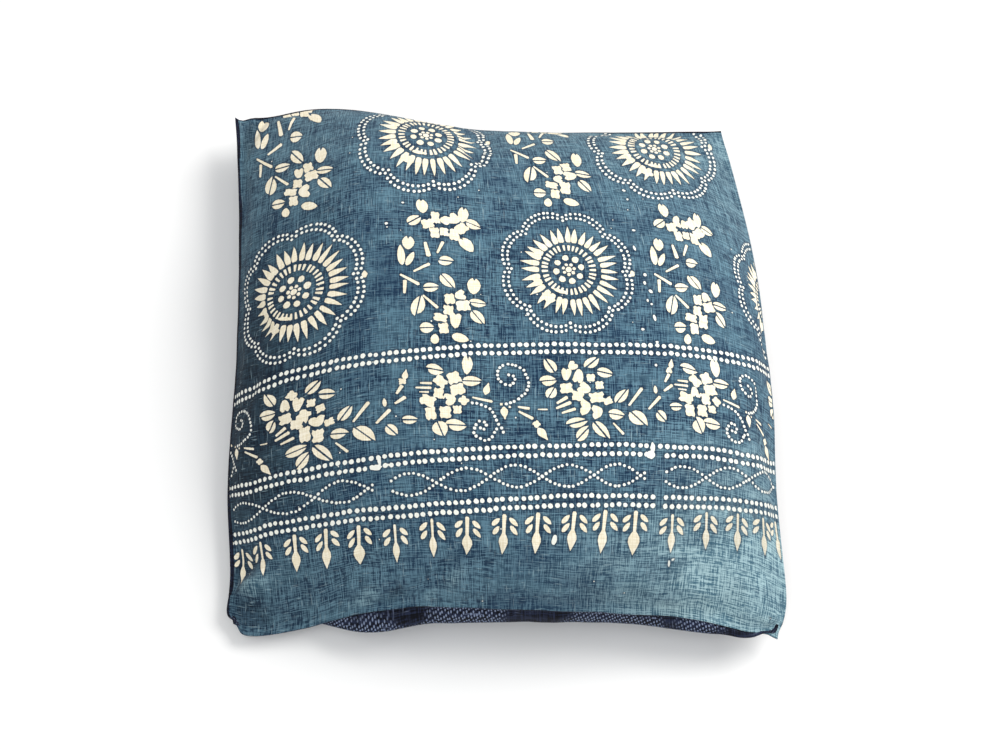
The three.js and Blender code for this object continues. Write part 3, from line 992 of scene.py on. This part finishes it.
def depth_inside(points, outlines):
    """How far each point is inside the print, below 0 outside it, and the paste of the nearest shape."""
    depth = np.full(len(points), FAR_OUTSIDE)
    paste = np.full(len(points), THICK)
    order = np.argsort(points[:, 0])
    xs = points[order, 0]
    for shape, thickness in outlines:
        low, high = shape.min(0) - DEPTH_REACH, shape.max(0) + DEPTH_REACH
        first, last = np.searchsorted(xs, (low[0], high[0]))
        near = order[first:last]
        near = near[(points[near, 1] > low[1]) & (points[near, 1] < high[1])]
        if not len(near):
            continue
        p = points[near][:, None]
        a, b = shape[None], np.roll(shape, -1, axis=0)[None]
        along = b - a
        k = np.clip(((p - a) * along).sum(-1) / np.maximum((along**2).sum(-1), 1e-9), 0, 1)
        distance = np.linalg.norm(p - a - along * k[..., None], axis=-1).min(1)
        crosses = (a[..., 1] > p[..., 1]) != (b[..., 1] > p[..., 1])
        rise = np.where(np.abs(b[..., 1] - a[..., 1]) < 1e-9, 1e-9, b[..., 1] - a[..., 1])
        meets = (b[..., 0] - a[..., 0]) * (p[..., 1] - a[..., 1]) / rise + a[..., 0]
        inside = (crosses & (p[..., 0] < meets)).sum(1) % 2 == 1
        here = np.where(inside, distance, -distance)
        paste[near] = np.where(here > depth[near], thickness, paste[near])
        depth[near] = np.maximum(depth[near], here)
    return depth, paste


def front_triangles():
    """Places on the cut cloth, triangles, how far inside the print each place is, and the paste there."""
    outlines = []
    for shape, paste in shapes:
        if not inside_panel(shape):
            continue
        shape = clipped(shape)
        area = signed_area(shape)
        if abs(area) > LEAST_AREA:
            outlines.append((shape if area > 0 else shape[::-1], paste))
    places, edges = [], []
    for shape, _ in outlines:
        for distance in (-EDGE, EDGE):
            ring = clipped(offset_outline(shape, distance))
            first = len(places)
            places.extend(ring.tolist())
            edges.extend((first + k, first + (k + 1) % len(ring)) for k in range(len(ring)))
    nx, ny = int(2 * HALF_X / MESH_PITCH), int(2 * HALF_Y / MESH_PITCH)
    across, up = np.linspace(-HALF_X, HALF_X, nx + 1), np.linspace(-HALF_Y, HALF_Y, ny + 1)
    x, y = np.meshgrid(across, up, indexing="ij")
    lattice = np.stack([x.ravel(), y.ravel()], -1)
    on_edge = (np.abs(lattice[:, 0]) == HALF_X) | (np.abs(lattice[:, 1]) == HALF_Y)
    clear = np.abs(depth_inside(lattice, outlines)[0]) > LATTICE_CLEARANCE
    places.extend(lattice[on_edge | clear].tolist())
    points, _, faces = delaunay_2d_cdt([Vector(p) for p in places], edges, [], 0, MERGED, False)[:3]
    points = np.array([(p.x, p.y) for p in points])
    return points, np.array(faces), *depth_inside(points, outlines)


def edge_loop(points):
    """The places along the panel's edge, in order round it from the near left corner."""
    x, y = points[:, 0], points[:, 1]
    tiny = 1e-3
    near = np.flatnonzero(y < -HALF_Y + tiny)
    right = np.flatnonzero(x > HALF_X - tiny)
    far = np.flatnonzero(y > HALF_Y - tiny)
    left = np.flatnonzero(x < -HALF_X + tiny)
    near, right = near[np.argsort(x[near])], right[np.argsort(y[right])]
    far, left = far[np.argsort(-x[far])], left[np.argsort(-y[left])]
    kept = []
    for k in (*near, *right, *far, *left):
        if not kept or kept[-1] != k:
            kept.append(k)
    return kept[:-1] if kept[0] == kept[-1] else kept


# Rings of a panel's inner side as shares of the panel, from the seam inwards
INNER_RINGS = (1.0, 0.93, 0.8, 0.55, 0.25)
# Where the middle of the cut cloth lies on its map, in metres
MAP_MIDDLE = 0.5


def closing_triangles(rings, tip):
    """Triangles between each ring and the next, then a fan from the last ring to the tip."""
    count = len(rings[0])
    triangles = []
    for upper, lower in zip(rings, rings[1:]):
        for k in range(count):
            m = (k + 1) % count
            triangles += [(upper[k], lower[k], lower[m]), (upper[k], lower[m], upper[m])]
    for k in range(count):
        triangles.append((rings[-1][k], tip, rings[-1][(k + 1) % count]))
    return triangles


def cloth_piece(name, places, triangles, cloth_at):
    """A piece with a map of where each point lies on the cut cloth."""
    mesh = bpy.data.meshes.new(name)
    mesh.from_pydata((places * MM).tolist(), [], triangles)
    mesh.validate()
    layer = mesh.uv_layers.new(name="cloth")
    corner = np.empty(len(mesh.loops), int)
    mesh.loops.foreach_get("vertex_index", corner)
    layer.data.foreach_set("uv", (cloth_at[corner] * MM + MAP_MIDDLE).ravel())
    mesh.shade_smooth()
    piece = bpy.data.objects.new(name, mesh)
    bpy.context.scene.collection.objects.link(piece)
    return piece


def sharpen(mesh, rings):
    """Marks the mesh's edges along each ring as sharp."""
    along = {tuple(sorted(pair)) for ring in rings for pair in zip(ring, ring[1:] + ring[:1])}
    for edge in mesh.edges:
        if tuple(sorted(edge.vertices)) in along:
            edge.use_edge_sharp = True


def closed_panel(name, flat, faces, outer, height, outward_up):
    """A panel's mesh: its cloth, a narrow rim at the seam and a plain inner side that closes it."""
    loop = edge_loop(flat)
    creases = front_creases if outward_up else back_creases
    s, t = flat[:, 0] / HALF_X, flat[:, 1] / HALF_Y
    places, cloth_at, rings = [outer(s, t)], [flat], [loop]
    count = len(flat)
    for share in INNER_RINGS:
        rs, rt = s[loop] * share, t[loop] * share
        ring = seam_surface(rs, rt) - ORIGIN + [0, 0, height]
        if share == 1.0:
            ring += sampled(creases, rs, rt)
        places.append(ring)
        cloth_at.append(np.stack([rs * HALF_X, rt * HALF_Y], -1))
        rings.append(list(range(count, count + len(loop))))
        count += len(loop)
    places.append(seam_surface(np.zeros(1), np.zeros(1)) - ORIGIN + [0, 0, height])
    cloth_at.append(np.zeros((1, 2)))
    triangles = [tuple(face) for face in faces.tolist()] + closing_triangles(rings, count)
    if not outward_up:
        triangles = [face[::-1] for face in triangles]
    piece = cloth_piece(name, np.concatenate(places), triangles, np.concatenate(cloth_at))
    sharpen(piece.data, rings[:2])
    return piece


# What the colour follows: how far the dye gathers beside the paste, and the height of a fold that counts as
# one for the painted highlight and shade of the folds
BARE_REACH = 2
FOLD_SCALE = 8


def make_front():
    flat, faces, depth, paste = front_triangles()
    turn = np.cross(flat[faces[:, 1]] - flat[faces[:, 0]], flat[faces[:, 2]] - flat[faces[:, 0]])
    faces[turn < 0] = faces[turn < 0][:, ::-1]
    piece = closed_panel("front_cloth", flat, faces, finished_front, GAP / 2, True)
    layers = (
        ("print", np.clip(depth / EDGE, -1, 1), -1.0),
        ("paste", paste, 1.0),
        ("bare", np.clip(-depth / BARE_REACH, 0, 1), 1.0),
        # Height of the folds, which sets their painted highlight and painted shade
        ("fold", fold_height(flat[:, 0], flat[:, 1]) / FOLD_SCALE, 0.0),
    )
    for name, value, elsewhere in layers:
        values = np.full(len(piece.data.vertices), elsewhere)
        values[: len(flat)] = value
        piece.data.attributes.new(name, "FLOAT", "POINT").data.foreach_set("value", values)
    return piece


BACK_STEPS = (118, 120)


def make_back():
    nx, ny = BACK_STEPS
    x, y = np.meshgrid(graded(nx) * HALF_X, graded(ny) * HALF_Y, indexing="ij")
    corners = grid_quads(np.arange((nx + 1) * (ny + 1)).reshape(nx + 1, ny + 1))
    faces = np.concatenate([corners[:, [0, 1, 2]], corners[:, [0, 2, 3]]])
    flat = np.stack([x.ravel(), y.ravel()], -1)
    return closed_panel("back_cloth", flat, faces, finished_back, -GAP / 2, False)


front_cloth = make_front()
back_cloth = make_back()


# Cloth colours: dark threads, pale threads
INDIGO = ("#10273f", "#5b7d8f")
# Painted shade on the left side: the indigo's dark and pale threads as they look in shade
SHADED_INDIGO = ("#060d17", "#192a38")
# Painted highlight on the ridges of the folds, then painted shade in their hollows
LIT_RIDGE_INDIGO = ("#3a5e70", "#9dbac0")
SHADED_HOLLOW_INDIGO = ("#0a1624", "#22384b")
# Paler indigo: painted light on the far side and the right, and real fading in the near right band
LIT_AND_WORN_INDIGO = ("#446778", "#9cb9c0")
CREAM = ("#e8dcbf", "#faf2dd")
NAVY = ("#070912", "#232a40")
ROLLED_NAVY = ("#070912", "#1b2136")
# Patches of the indigo: broad ones, its lighter and darker clouds, dye gathered beside the paste
PATCH_INDIGO = "#26455f"
CLOUD_PALE, CLOUD_DARK = "#5d8191", "#16304a"
GATHERED_INDIGO = "#14243a"
# Slubs of both cloths, the navy's ticks, cream under thin paste and where it is patchy
INDIGO_SLUB, NAVY_SLUB, NAVY_TICK = "#9fb9c2", "#6b7690", "#8a98b4"
THIN_CREAM, PATCHY_CREAM = "#eef3ef", "#f6f2e6"
# Threads in a metre of each cloth, and ticks in a metre of the navy one
FRONT_THREADS = 1350.0
BACK_THREADS = 900.0
TICKS = 400.0
# How far a pattern is drawn out along a weft or warp thread, and along a long one
WEFT, WARP = (0.1, 1.0, 1.0), (1.0, 0.08, 1.0)
LONG_WEFT, LONG_WARP = (0.03, 1.0, 1.0), (1.0, 0.03, 1.0)
# Shares of single threads, long threads and mottling in the cloth's tone, and of slubs in its relief
THREAD_SHARE, LONG_SHARE, MOTTLE_SHARE = 0.36, 0.56, 0.08
SLUB_RELIEF = 0.35


def socket(tree, kind, name, default=None, output=False):
    made = tree.interface.new_socket(name=name, in_out="OUTPUT" if output else "INPUT", socket_type=kind)
    if default is not None:
        made.default_value = default
    return made


class Nodes:
    """A short way to add nodes to a tree and join them."""

    def __init__(self, tree):
        self.tree = tree

    def add(self, kind, **values):
        node = self.tree.nodes.new(kind)
        for name, value in values.items():
            setattr(node, name, value)
        return node

    def feed(self, node, key, value):
        if isinstance(value, bpy.types.NodeSocket):
            self.tree.links.new(value, node.inputs[key])
        elif value is not None:
            node.inputs[key].default_value = value

    def math(self, operation, a, b, clamp=False):
        node = self.add("ShaderNodeMath", operation=operation, use_clamp=clamp)
        self.feed(node, 0, a)
        self.feed(node, 1, b)
        return node.outputs[0]

    def mix(self, factor, a, b):
        node = self.add("ShaderNodeMix", data_type="RGBA", blend_type="MIX")
        self.feed(node, 0, factor)
        self.feed(node, 6, a)
        self.feed(node, 7, b)
        return node.outputs[2]

    def stretch(self, vector, scale, turn=0.0):
        node = self.add("ShaderNodeMapping")
        self.feed(node, "Vector", vector)
        node.inputs["Scale"].default_value = scale
        node.inputs["Rotation"].default_value = (0, 0, turn)
        return node.outputs[0]

    def noise(self, vector, scale, detail, rough):
        node = self.add("ShaderNodeTexNoise", noise_dimensions="2D")
        self.feed(node, "Vector", vector)
        self.feed(node, "Scale", scale)
        self.feed(node, "Detail", detail)
        self.feed(node, "Roughness", rough)
        return node.outputs["Fac"]

    def between(self, value, low, high, to_low=0.0, to_high=1.0):
        node = self.add("ShaderNodeMapRange", interpolation_type="SMOOTHSTEP")
        for k, number in enumerate((value, low, high, to_low, to_high)):
            self.feed(node, k, number)
        return node.outputs[0]


def homespun_group():
    """Uneven hand-spun threads both ways: how light each thread is, its slubs and its relief."""
    tree = bpy.data.node_groups.new("homespun threads", "ShaderNodeTree")
    socket(tree, "NodeSocketVector", "Cloth")
    socket(tree, "NodeSocketFloat", "Threads per metre", 1100.0)
    socket(tree, "NodeSocketFloat", "Light and dark", output=True)
    socket(tree, "NodeSocketFloat", "Slubs", output=True)
    socket(tree, "NodeSocketFloat", "Relief", output=True)
    n = Nodes(tree)
    asked = n.add("NodeGroupInput")
    cloth, count = asked.outputs["Cloth"], asked.outputs["Threads per metre"]

    def threads(drawn_out, fineness, detail=0.0, rough=0.5):
        return n.noise(n.stretch(cloth, drawn_out), n.math("MULTIPLY", count, fineness), detail, rough)

    halves = (n.math("MULTIPLY", threads(way, 1.2), 0.5) for way in (WEFT, WARP))
    single = n.math("ADD", *halves)
    long_threads = n.math("ADD", threads(LONG_WEFT, 0.75, 1.0), threads(LONG_WARP, 0.75, 1.0))
    long_threads = n.math("MULTIPLY", long_threads, 0.5)
    mottle = threads((0.5, 1.0, 1.0), 0.12, 3.0, 0.6)
    tone = n.math("MULTIPLY", single, THREAD_SHARE)
    tone = n.math("ADD", tone, n.math("MULTIPLY", long_threads, LONG_SHARE))
    tone = n.math("ADD", tone, n.math("MULTIPLY", mottle, MOTTLE_SHARE))
    slub_weft = n.between(threads(WEFT, 0.55, 1.0), 0.7, 0.8)
    slub_warp = n.between(threads(WARP, 0.5, 1.0), 0.7, 0.8)
    slubs = n.math("MAXIMUM", slub_weft, slub_warp)
    relief = n.math("ADD", single, n.math("MULTIPLY", slubs, SLUB_RELIEF))
    out = n.add("NodeGroupOutput")
    n.feed(out, "Light and dark", tone)
    n.feed(out, "Slubs", slubs)
    n.feed(out, "Relief", relief)
    return tree


homespun = homespun_group()


def place_threads(n, cloth, count):
    node = n.add("ShaderNodeGroup", node_tree=homespun)
    n.feed(node, "Cloth", cloth)
    n.feed(node, "Threads per metre", count)
    return node.outputs["Light and dark"], node.outputs["Slubs"], node.outputs["Relief"]


def colour(hex_code):
    parts = [int(hex_code[k:k + 2], 16) / 255 for k in (1, 3, 5)]
    return tuple(c / 12.92 if c <= 0.04045 else ((c + 0.055) / 1.055) ** 2.4 for c in parts) + (1.0,)


def on_map(place):
    """A place in millimetres from the middle of the cut cloth, as it reads on the cloth's map."""
    return MAP_MIDDLE + place * MM


def threads_of(n, thread, pair):
    """A cloth colour, from its dark threads to its pale ones."""
    dark, pale = pair
    return n.mix(thread, colour(dark), colour(pale))


def cloth_material(name):
    material = bpy.data.materials.new(name)
    material.use_nodes = True
    tree = material.node_tree
    tree.nodes.clear()
    n = Nodes(tree)
    shader = n.add("ShaderNodeBsdfPrincipled")
    shader.inputs["Roughness"].default_value = 0.92
    shader.inputs["Specular IOR Level"].default_value = 0.12
    shader.inputs["Sheen Weight"].default_value = 0.04
    shader.inputs["Sheen Roughness"].default_value = 0.6
    out = n.add("ShaderNodeOutputMaterial")
    tree.links.new(shader.outputs[0], out.inputs["Surface"])
    cloth = n.add("ShaderNodeUVMap", uv_map="cloth").outputs[0]
    return material, n, shader, cloth


def bump(n, shader, height, distance, strength):
    node = n.add("ShaderNodeBump")
    node.inputs["Distance"].default_value = distance
    node.inputs["Strength"].default_value = strength
    n.feed(node, "Height", height)
    n.tree.links.new(node.outputs[0], shader.inputs["Normal"])


def clouded_indigo(n, cloth, thread):
    """The dye as it took on the cloth, in broad patches and small clouds."""
    patches = n.noise(cloth, 9.0, 4.0, 0.6)
    cloudy = n.noise(n.stretch(cloth, (0.6, 1.0, 1.0)), 42.0, 3.0, 0.6)
    dye = threads_of(n, thread, INDIGO)
    dye = n.mix(n.math("MULTIPLY", n.between(patches, 0.35, 0.7), 0.3), dye, colour(PATCH_INDIGO))
    dye = n.mix(n.between(cloudy, 0.42, 0.72, 0.0, 0.34), dye, colour(CLOUD_PALE))
    return n.mix(n.between(cloudy, 0.56, 0.3, 0.0, 0.34), dye, colour(CLOUD_DARK))


def painted_shade_at_left(n, across, up):
    """Painted shade on the left side, where it turns away from the light."""
    painted_shade = n.between(across, on_map(-100), on_map(-220))
    painted_shade = n.math("MULTIPLY", painted_shade, n.between(up, on_map(160), on_map(-40), 0.15, 1.0))
    return n.math("MULTIPLY", painted_shade, n.between(up, on_map(-200), on_map(-120), 0.3, 0.85))


def lit_and_worn_places(n, across, up):
    """Where the cloth is paler: painted light towards the far side and to the right, and worn dye most in the
    plain band at the near right.
    """
    far = n.between(up, on_map(60), on_map(260))
    lit_and_worn = n.math("MULTIPLY", far, n.between(across, on_map(-50), on_map(300), 0.14, 0.44))
    band = n.between(up, on_map(-130), on_map(-200))
    band = n.math("MULTIPLY", band, n.between(across, on_map(0), on_map(220), 0.05, 0.85))
    right = n.between(across, on_map(100), on_map(220))
    right = n.math("MULTIPLY", right, n.between(up, on_map(-70), on_map(-130), 0.05, 0.5))
    return n.math("ADD", n.math("ADD", lit_and_worn, band), right)


def undyed_cream(n, cloth, tone, paste):
    """The cream left under the paste, cooler and bluer where the paste lay thin."""
    patchy = n.between(n.noise(cloth, 60.0, 3.0, 0.6), 0.5, 0.75)
    cream = threads_of(n, n.between(tone, 0.4, 0.62), CREAM)
    cream = n.mix(n.math("MULTIPLY", patchy, 0.3), cream, colour(PATCHY_CREAM))
    return n.mix(n.between(paste, 0.7, 0.2, 0.0, 0.75), cream, colour(THIN_CREAM))


def rolled_over(n, cloth, across, up):
    """Where a hair of the navy back cloth rolls over the seam, at the left and the far side."""
    wander = n.noise(cloth, 14.0, 2.0, 0.5)
    left_roll = n.math("MULTIPLY", wander, n.between(up, on_map(0), on_map(160), 0.006, 0.009))
    far_roll = n.math("MULTIPLY", wander, 0.0034)
    at_left = n.math("LESS_THAN", n.math("SUBTRACT", across, on_map(-HALF_X)), left_roll)
    at_far = n.math("LESS_THAN", n.math("SUBTRACT", on_map(HALF_Y), up), far_roll)
    return n.math("MAXIMUM", at_left, at_far)


def given(n, name):
    """A value that the mesh carries at each point."""
    return n.add("ShaderNodeAttribute", attribute_name=name).outputs["Fac"]


def indigo_print():
    """Faded indigo homespun with the print left in undyed cream."""
    material, n, shader, cloth = cloth_material("front_cloth")
    tone, slubs, relief = place_threads(n, cloth, FRONT_THREADS)
    split = n.add("ShaderNodeSeparateXYZ")
    n.feed(split, 0, cloth)
    across, up = split.outputs[0], split.outputs[1]
    thread = n.between(tone, 0.435, 0.57)
    dye = clouded_indigo(n, cloth, thread)
    # Painted shade down the left side
    dye = n.mix(painted_shade_at_left(n, across, up), dye, threads_of(n, thread, SHADED_INDIGO))
    # Painted highlight along the ridges of the folds and painted shade in their hollows
    fold = given(n, "fold")
    dye = n.mix(n.between(fold, 0.1, 0.8, 0.0, 0.38), dye, threads_of(n, thread, LIT_RIDGE_INDIGO))
    dye = n.mix(n.between(fold, -0.1, -0.8, 0.0, 0.7), dye, threads_of(n, thread, SHADED_HOLLOW_INDIGO))
    # Painted light towards the far side and the right, with real fading in the near right band
    lit_and_worn = lit_and_worn_places(n, across, up)
    streaks = n.between(n.noise(n.stretch(cloth, (0.22, 1.0, 1.0)), 70.0, 3.0, 0.6), 0.35, 0.65, 0.6, 1.15)
    streaked = n.math("MULTIPLY", lit_and_worn, streaks, clamp=True)
    dye = n.mix(streaked, dye, threads_of(n, thread, LIT_AND_WORN_INDIGO))
    dye = n.mix(n.math("MULTIPLY", slubs, 0.4), dye, colour(INDIGO_SLUB))
    # Dye gathered along the edges of the paste
    dye = n.mix(n.between(given(n, "bare"), 0.1, 0.7, 0.55, 0.0), dye, colour(GATHERED_INDIGO))
    ragged = n.math("MULTIPLY", n.math("SUBTRACT", tone, 0.5), 2.2)
    ragged = n.math("ADD", given(n, "print"), ragged)
    strength = n.math("SUBTRACT", 1.0, n.math("MULTIPLY", lit_and_worn, 0.3))
    resist = n.math("MULTIPLY", n.between(ragged, -0.25, 0.35), strength)
    cream = undyed_cream(n, cloth, tone, given(n, "paste"))
    final = n.mix(resist, dye, cream)
    final = n.mix(rolled_over(n, cloth, across, up), final, threads_of(n, thread, ROLLED_NAVY))
    n.feed(shader, "Base Color", final)
    bump(n, shader, relief, 0.0006, 0.55)
    return material


def navy_homespun():
    """Dark navy plain weave with a few paler threads."""
    material, n, shader, cloth = cloth_material("back_cloth")
    tone, slubs, relief = place_threads(n, cloth, BACK_THREADS)
    dye = threads_of(n, n.between(tone, 0.43, 0.58), NAVY)
    dye = n.mix(n.math("MULTIPLY", slubs, 0.6), dye, colour(NAVY_SLUB))
    ticks = n.add("ShaderNodeTexVoronoi", voronoi_dimensions="2D", feature="F1")
    ticks.inputs["Randomness"].default_value = 0.35
    n.feed(ticks, "Vector", n.stretch(cloth, (1.0, 0.62, 1.0), math.radians(24)))
    n.feed(ticks, "Scale", TICKS)
    tick = n.between(ticks.outputs["Distance"], 0.34, 0.2)
    patch = n.between(n.noise(cloth, 16.0, 2.0, 0.5), 0.4, 0.56)
    dye = n.mix(n.math("MULTIPLY", tick, n.math("MULTIPLY", patch, 0.8)), dye, colour(NAVY_TICK))
    n.feed(shader, "Base Color", dye)
    bump(n, shader, relief, 0.0008, 0.6)
    return material


front_cloth.data.materials.append(indigo_print())
back_cloth.data.materials.append(navy_homespun())

for piece, node in ((front_cloth, "front_panel"), (back_cloth, "back_panel")):
    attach(piece, "root")
    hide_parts(node)


# Floor and light, in metres
FLOOR_HALF = 30.0
LIT_PLACE = (0, 0, 0.06)
SKY_STRENGTH = 0.5


def make_floor():
    mesh = bpy.data.meshes.new("floor")
    corners = [(x * FLOOR_HALF, y * FLOOR_HALF, 0) for x, y in ((-1, -1), (1, -1), (1, 1), (-1, 1))]
    mesh.from_pydata(corners, [], [(0, 1, 2, 3)])
    floor = bpy.data.objects.new("floor", mesh)
    bpy.context.scene.collection.objects.link(floor)
    material = bpy.data.materials.new("floor")
    material.use_nodes = True
    shader = material.node_tree.nodes["Principled BSDF"]
    shader.inputs["Base Color"].default_value = (0.9, 0.9, 0.9, 1)
    shader.inputs["Roughness"].default_value = 0.9
    mesh.materials.append(material)
    return floor


floor = make_floor()


def soft_light(name, place, size, power, tint):
    data = bpy.data.lights.new(name, "AREA")
    data.size = size
    data.energy = power
    data.color = tint
    lamp = bpy.data.objects.new(name, data)
    lamp.location = place
    lamp.rotation_euler = (Vector(LIT_PLACE) - Vector(place)).to_track_quat("-Z", "Y").to_euler()
    bpy.context.scene.collection.objects.link(lamp)


soft_light("window", (1.7, 0.9, 1.9), 1.6, 66, (1.0, 0.985, 0.96))
soft_light("sky", (-0.6, -1.0, 2.6), 2.4, 30, (0.95, 0.98, 1.0))

world = bpy.data.worlds.new("studio")
world.use_nodes = True
world.node_tree.nodes["Background"].inputs["Color"].default_value = (1, 1, 1, 1)
world.node_tree.nodes["Background"].inputs["Strength"].default_value = SKY_STRENGTH
bpy.context.scene.world = world
bpy.context.scene.view_settings.view_transform = "Standard"

# Camera: its angles, its distance and target in millimetres, and where the target falls in the frame
CAMERA_ELEVATION = 67.7
CAMERA_ROLL = -0.4
CAMERA_DISTANCE = 1552.0
PIXELS_PER_MM = 1.144
FRAME_WIDTH, FRAME_HEIGHT = 1000, 750
TARGET_PIXEL = (503.2, 350.4)
TARGET = np.array([0, 0, 58.0])


def make_camera():
    data = bpy.data.cameras.new("camera")
    data.sensor_width = 36.0
    data.lens = PIXELS_PER_MM * CAMERA_DISTANCE * data.sensor_width / FRAME_WIDTH
    data.shift_x = (FRAME_WIDTH / 2 - TARGET_PIXEL[0]) / FRAME_WIDTH
    data.shift_y = (TARGET_PIXEL[1] - FRAME_HEIGHT / 2) / FRAME_WIDTH
    data.clip_end = 100
    camera = bpy.data.objects.new("camera", data)
    lift = math.radians(CAMERA_ELEVATION)
    back = Vector((0, -math.cos(lift), math.sin(lift)))
    camera.location = (Vector(TARGET - ORIGIN) + back * CAMERA_DISTANCE) * MM
    turn = back.to_track_quat("Z", "Y").to_matrix().to_4x4()
    roll = math.radians(CAMERA_ROLL)
    right, up = turn.col[0].xyz.copy(), turn.col[1].xyz.copy()
    turn.col[0].xyz = right * math.cos(roll) + up * math.sin(roll)
    turn.col[1].xyz = up * math.cos(roll) - right * math.sin(roll)
    camera.rotation_euler = turn.to_euler()
    bpy.context.scene.collection.objects.link(camera)
    bpy.context.scene.camera = camera


make_camera()
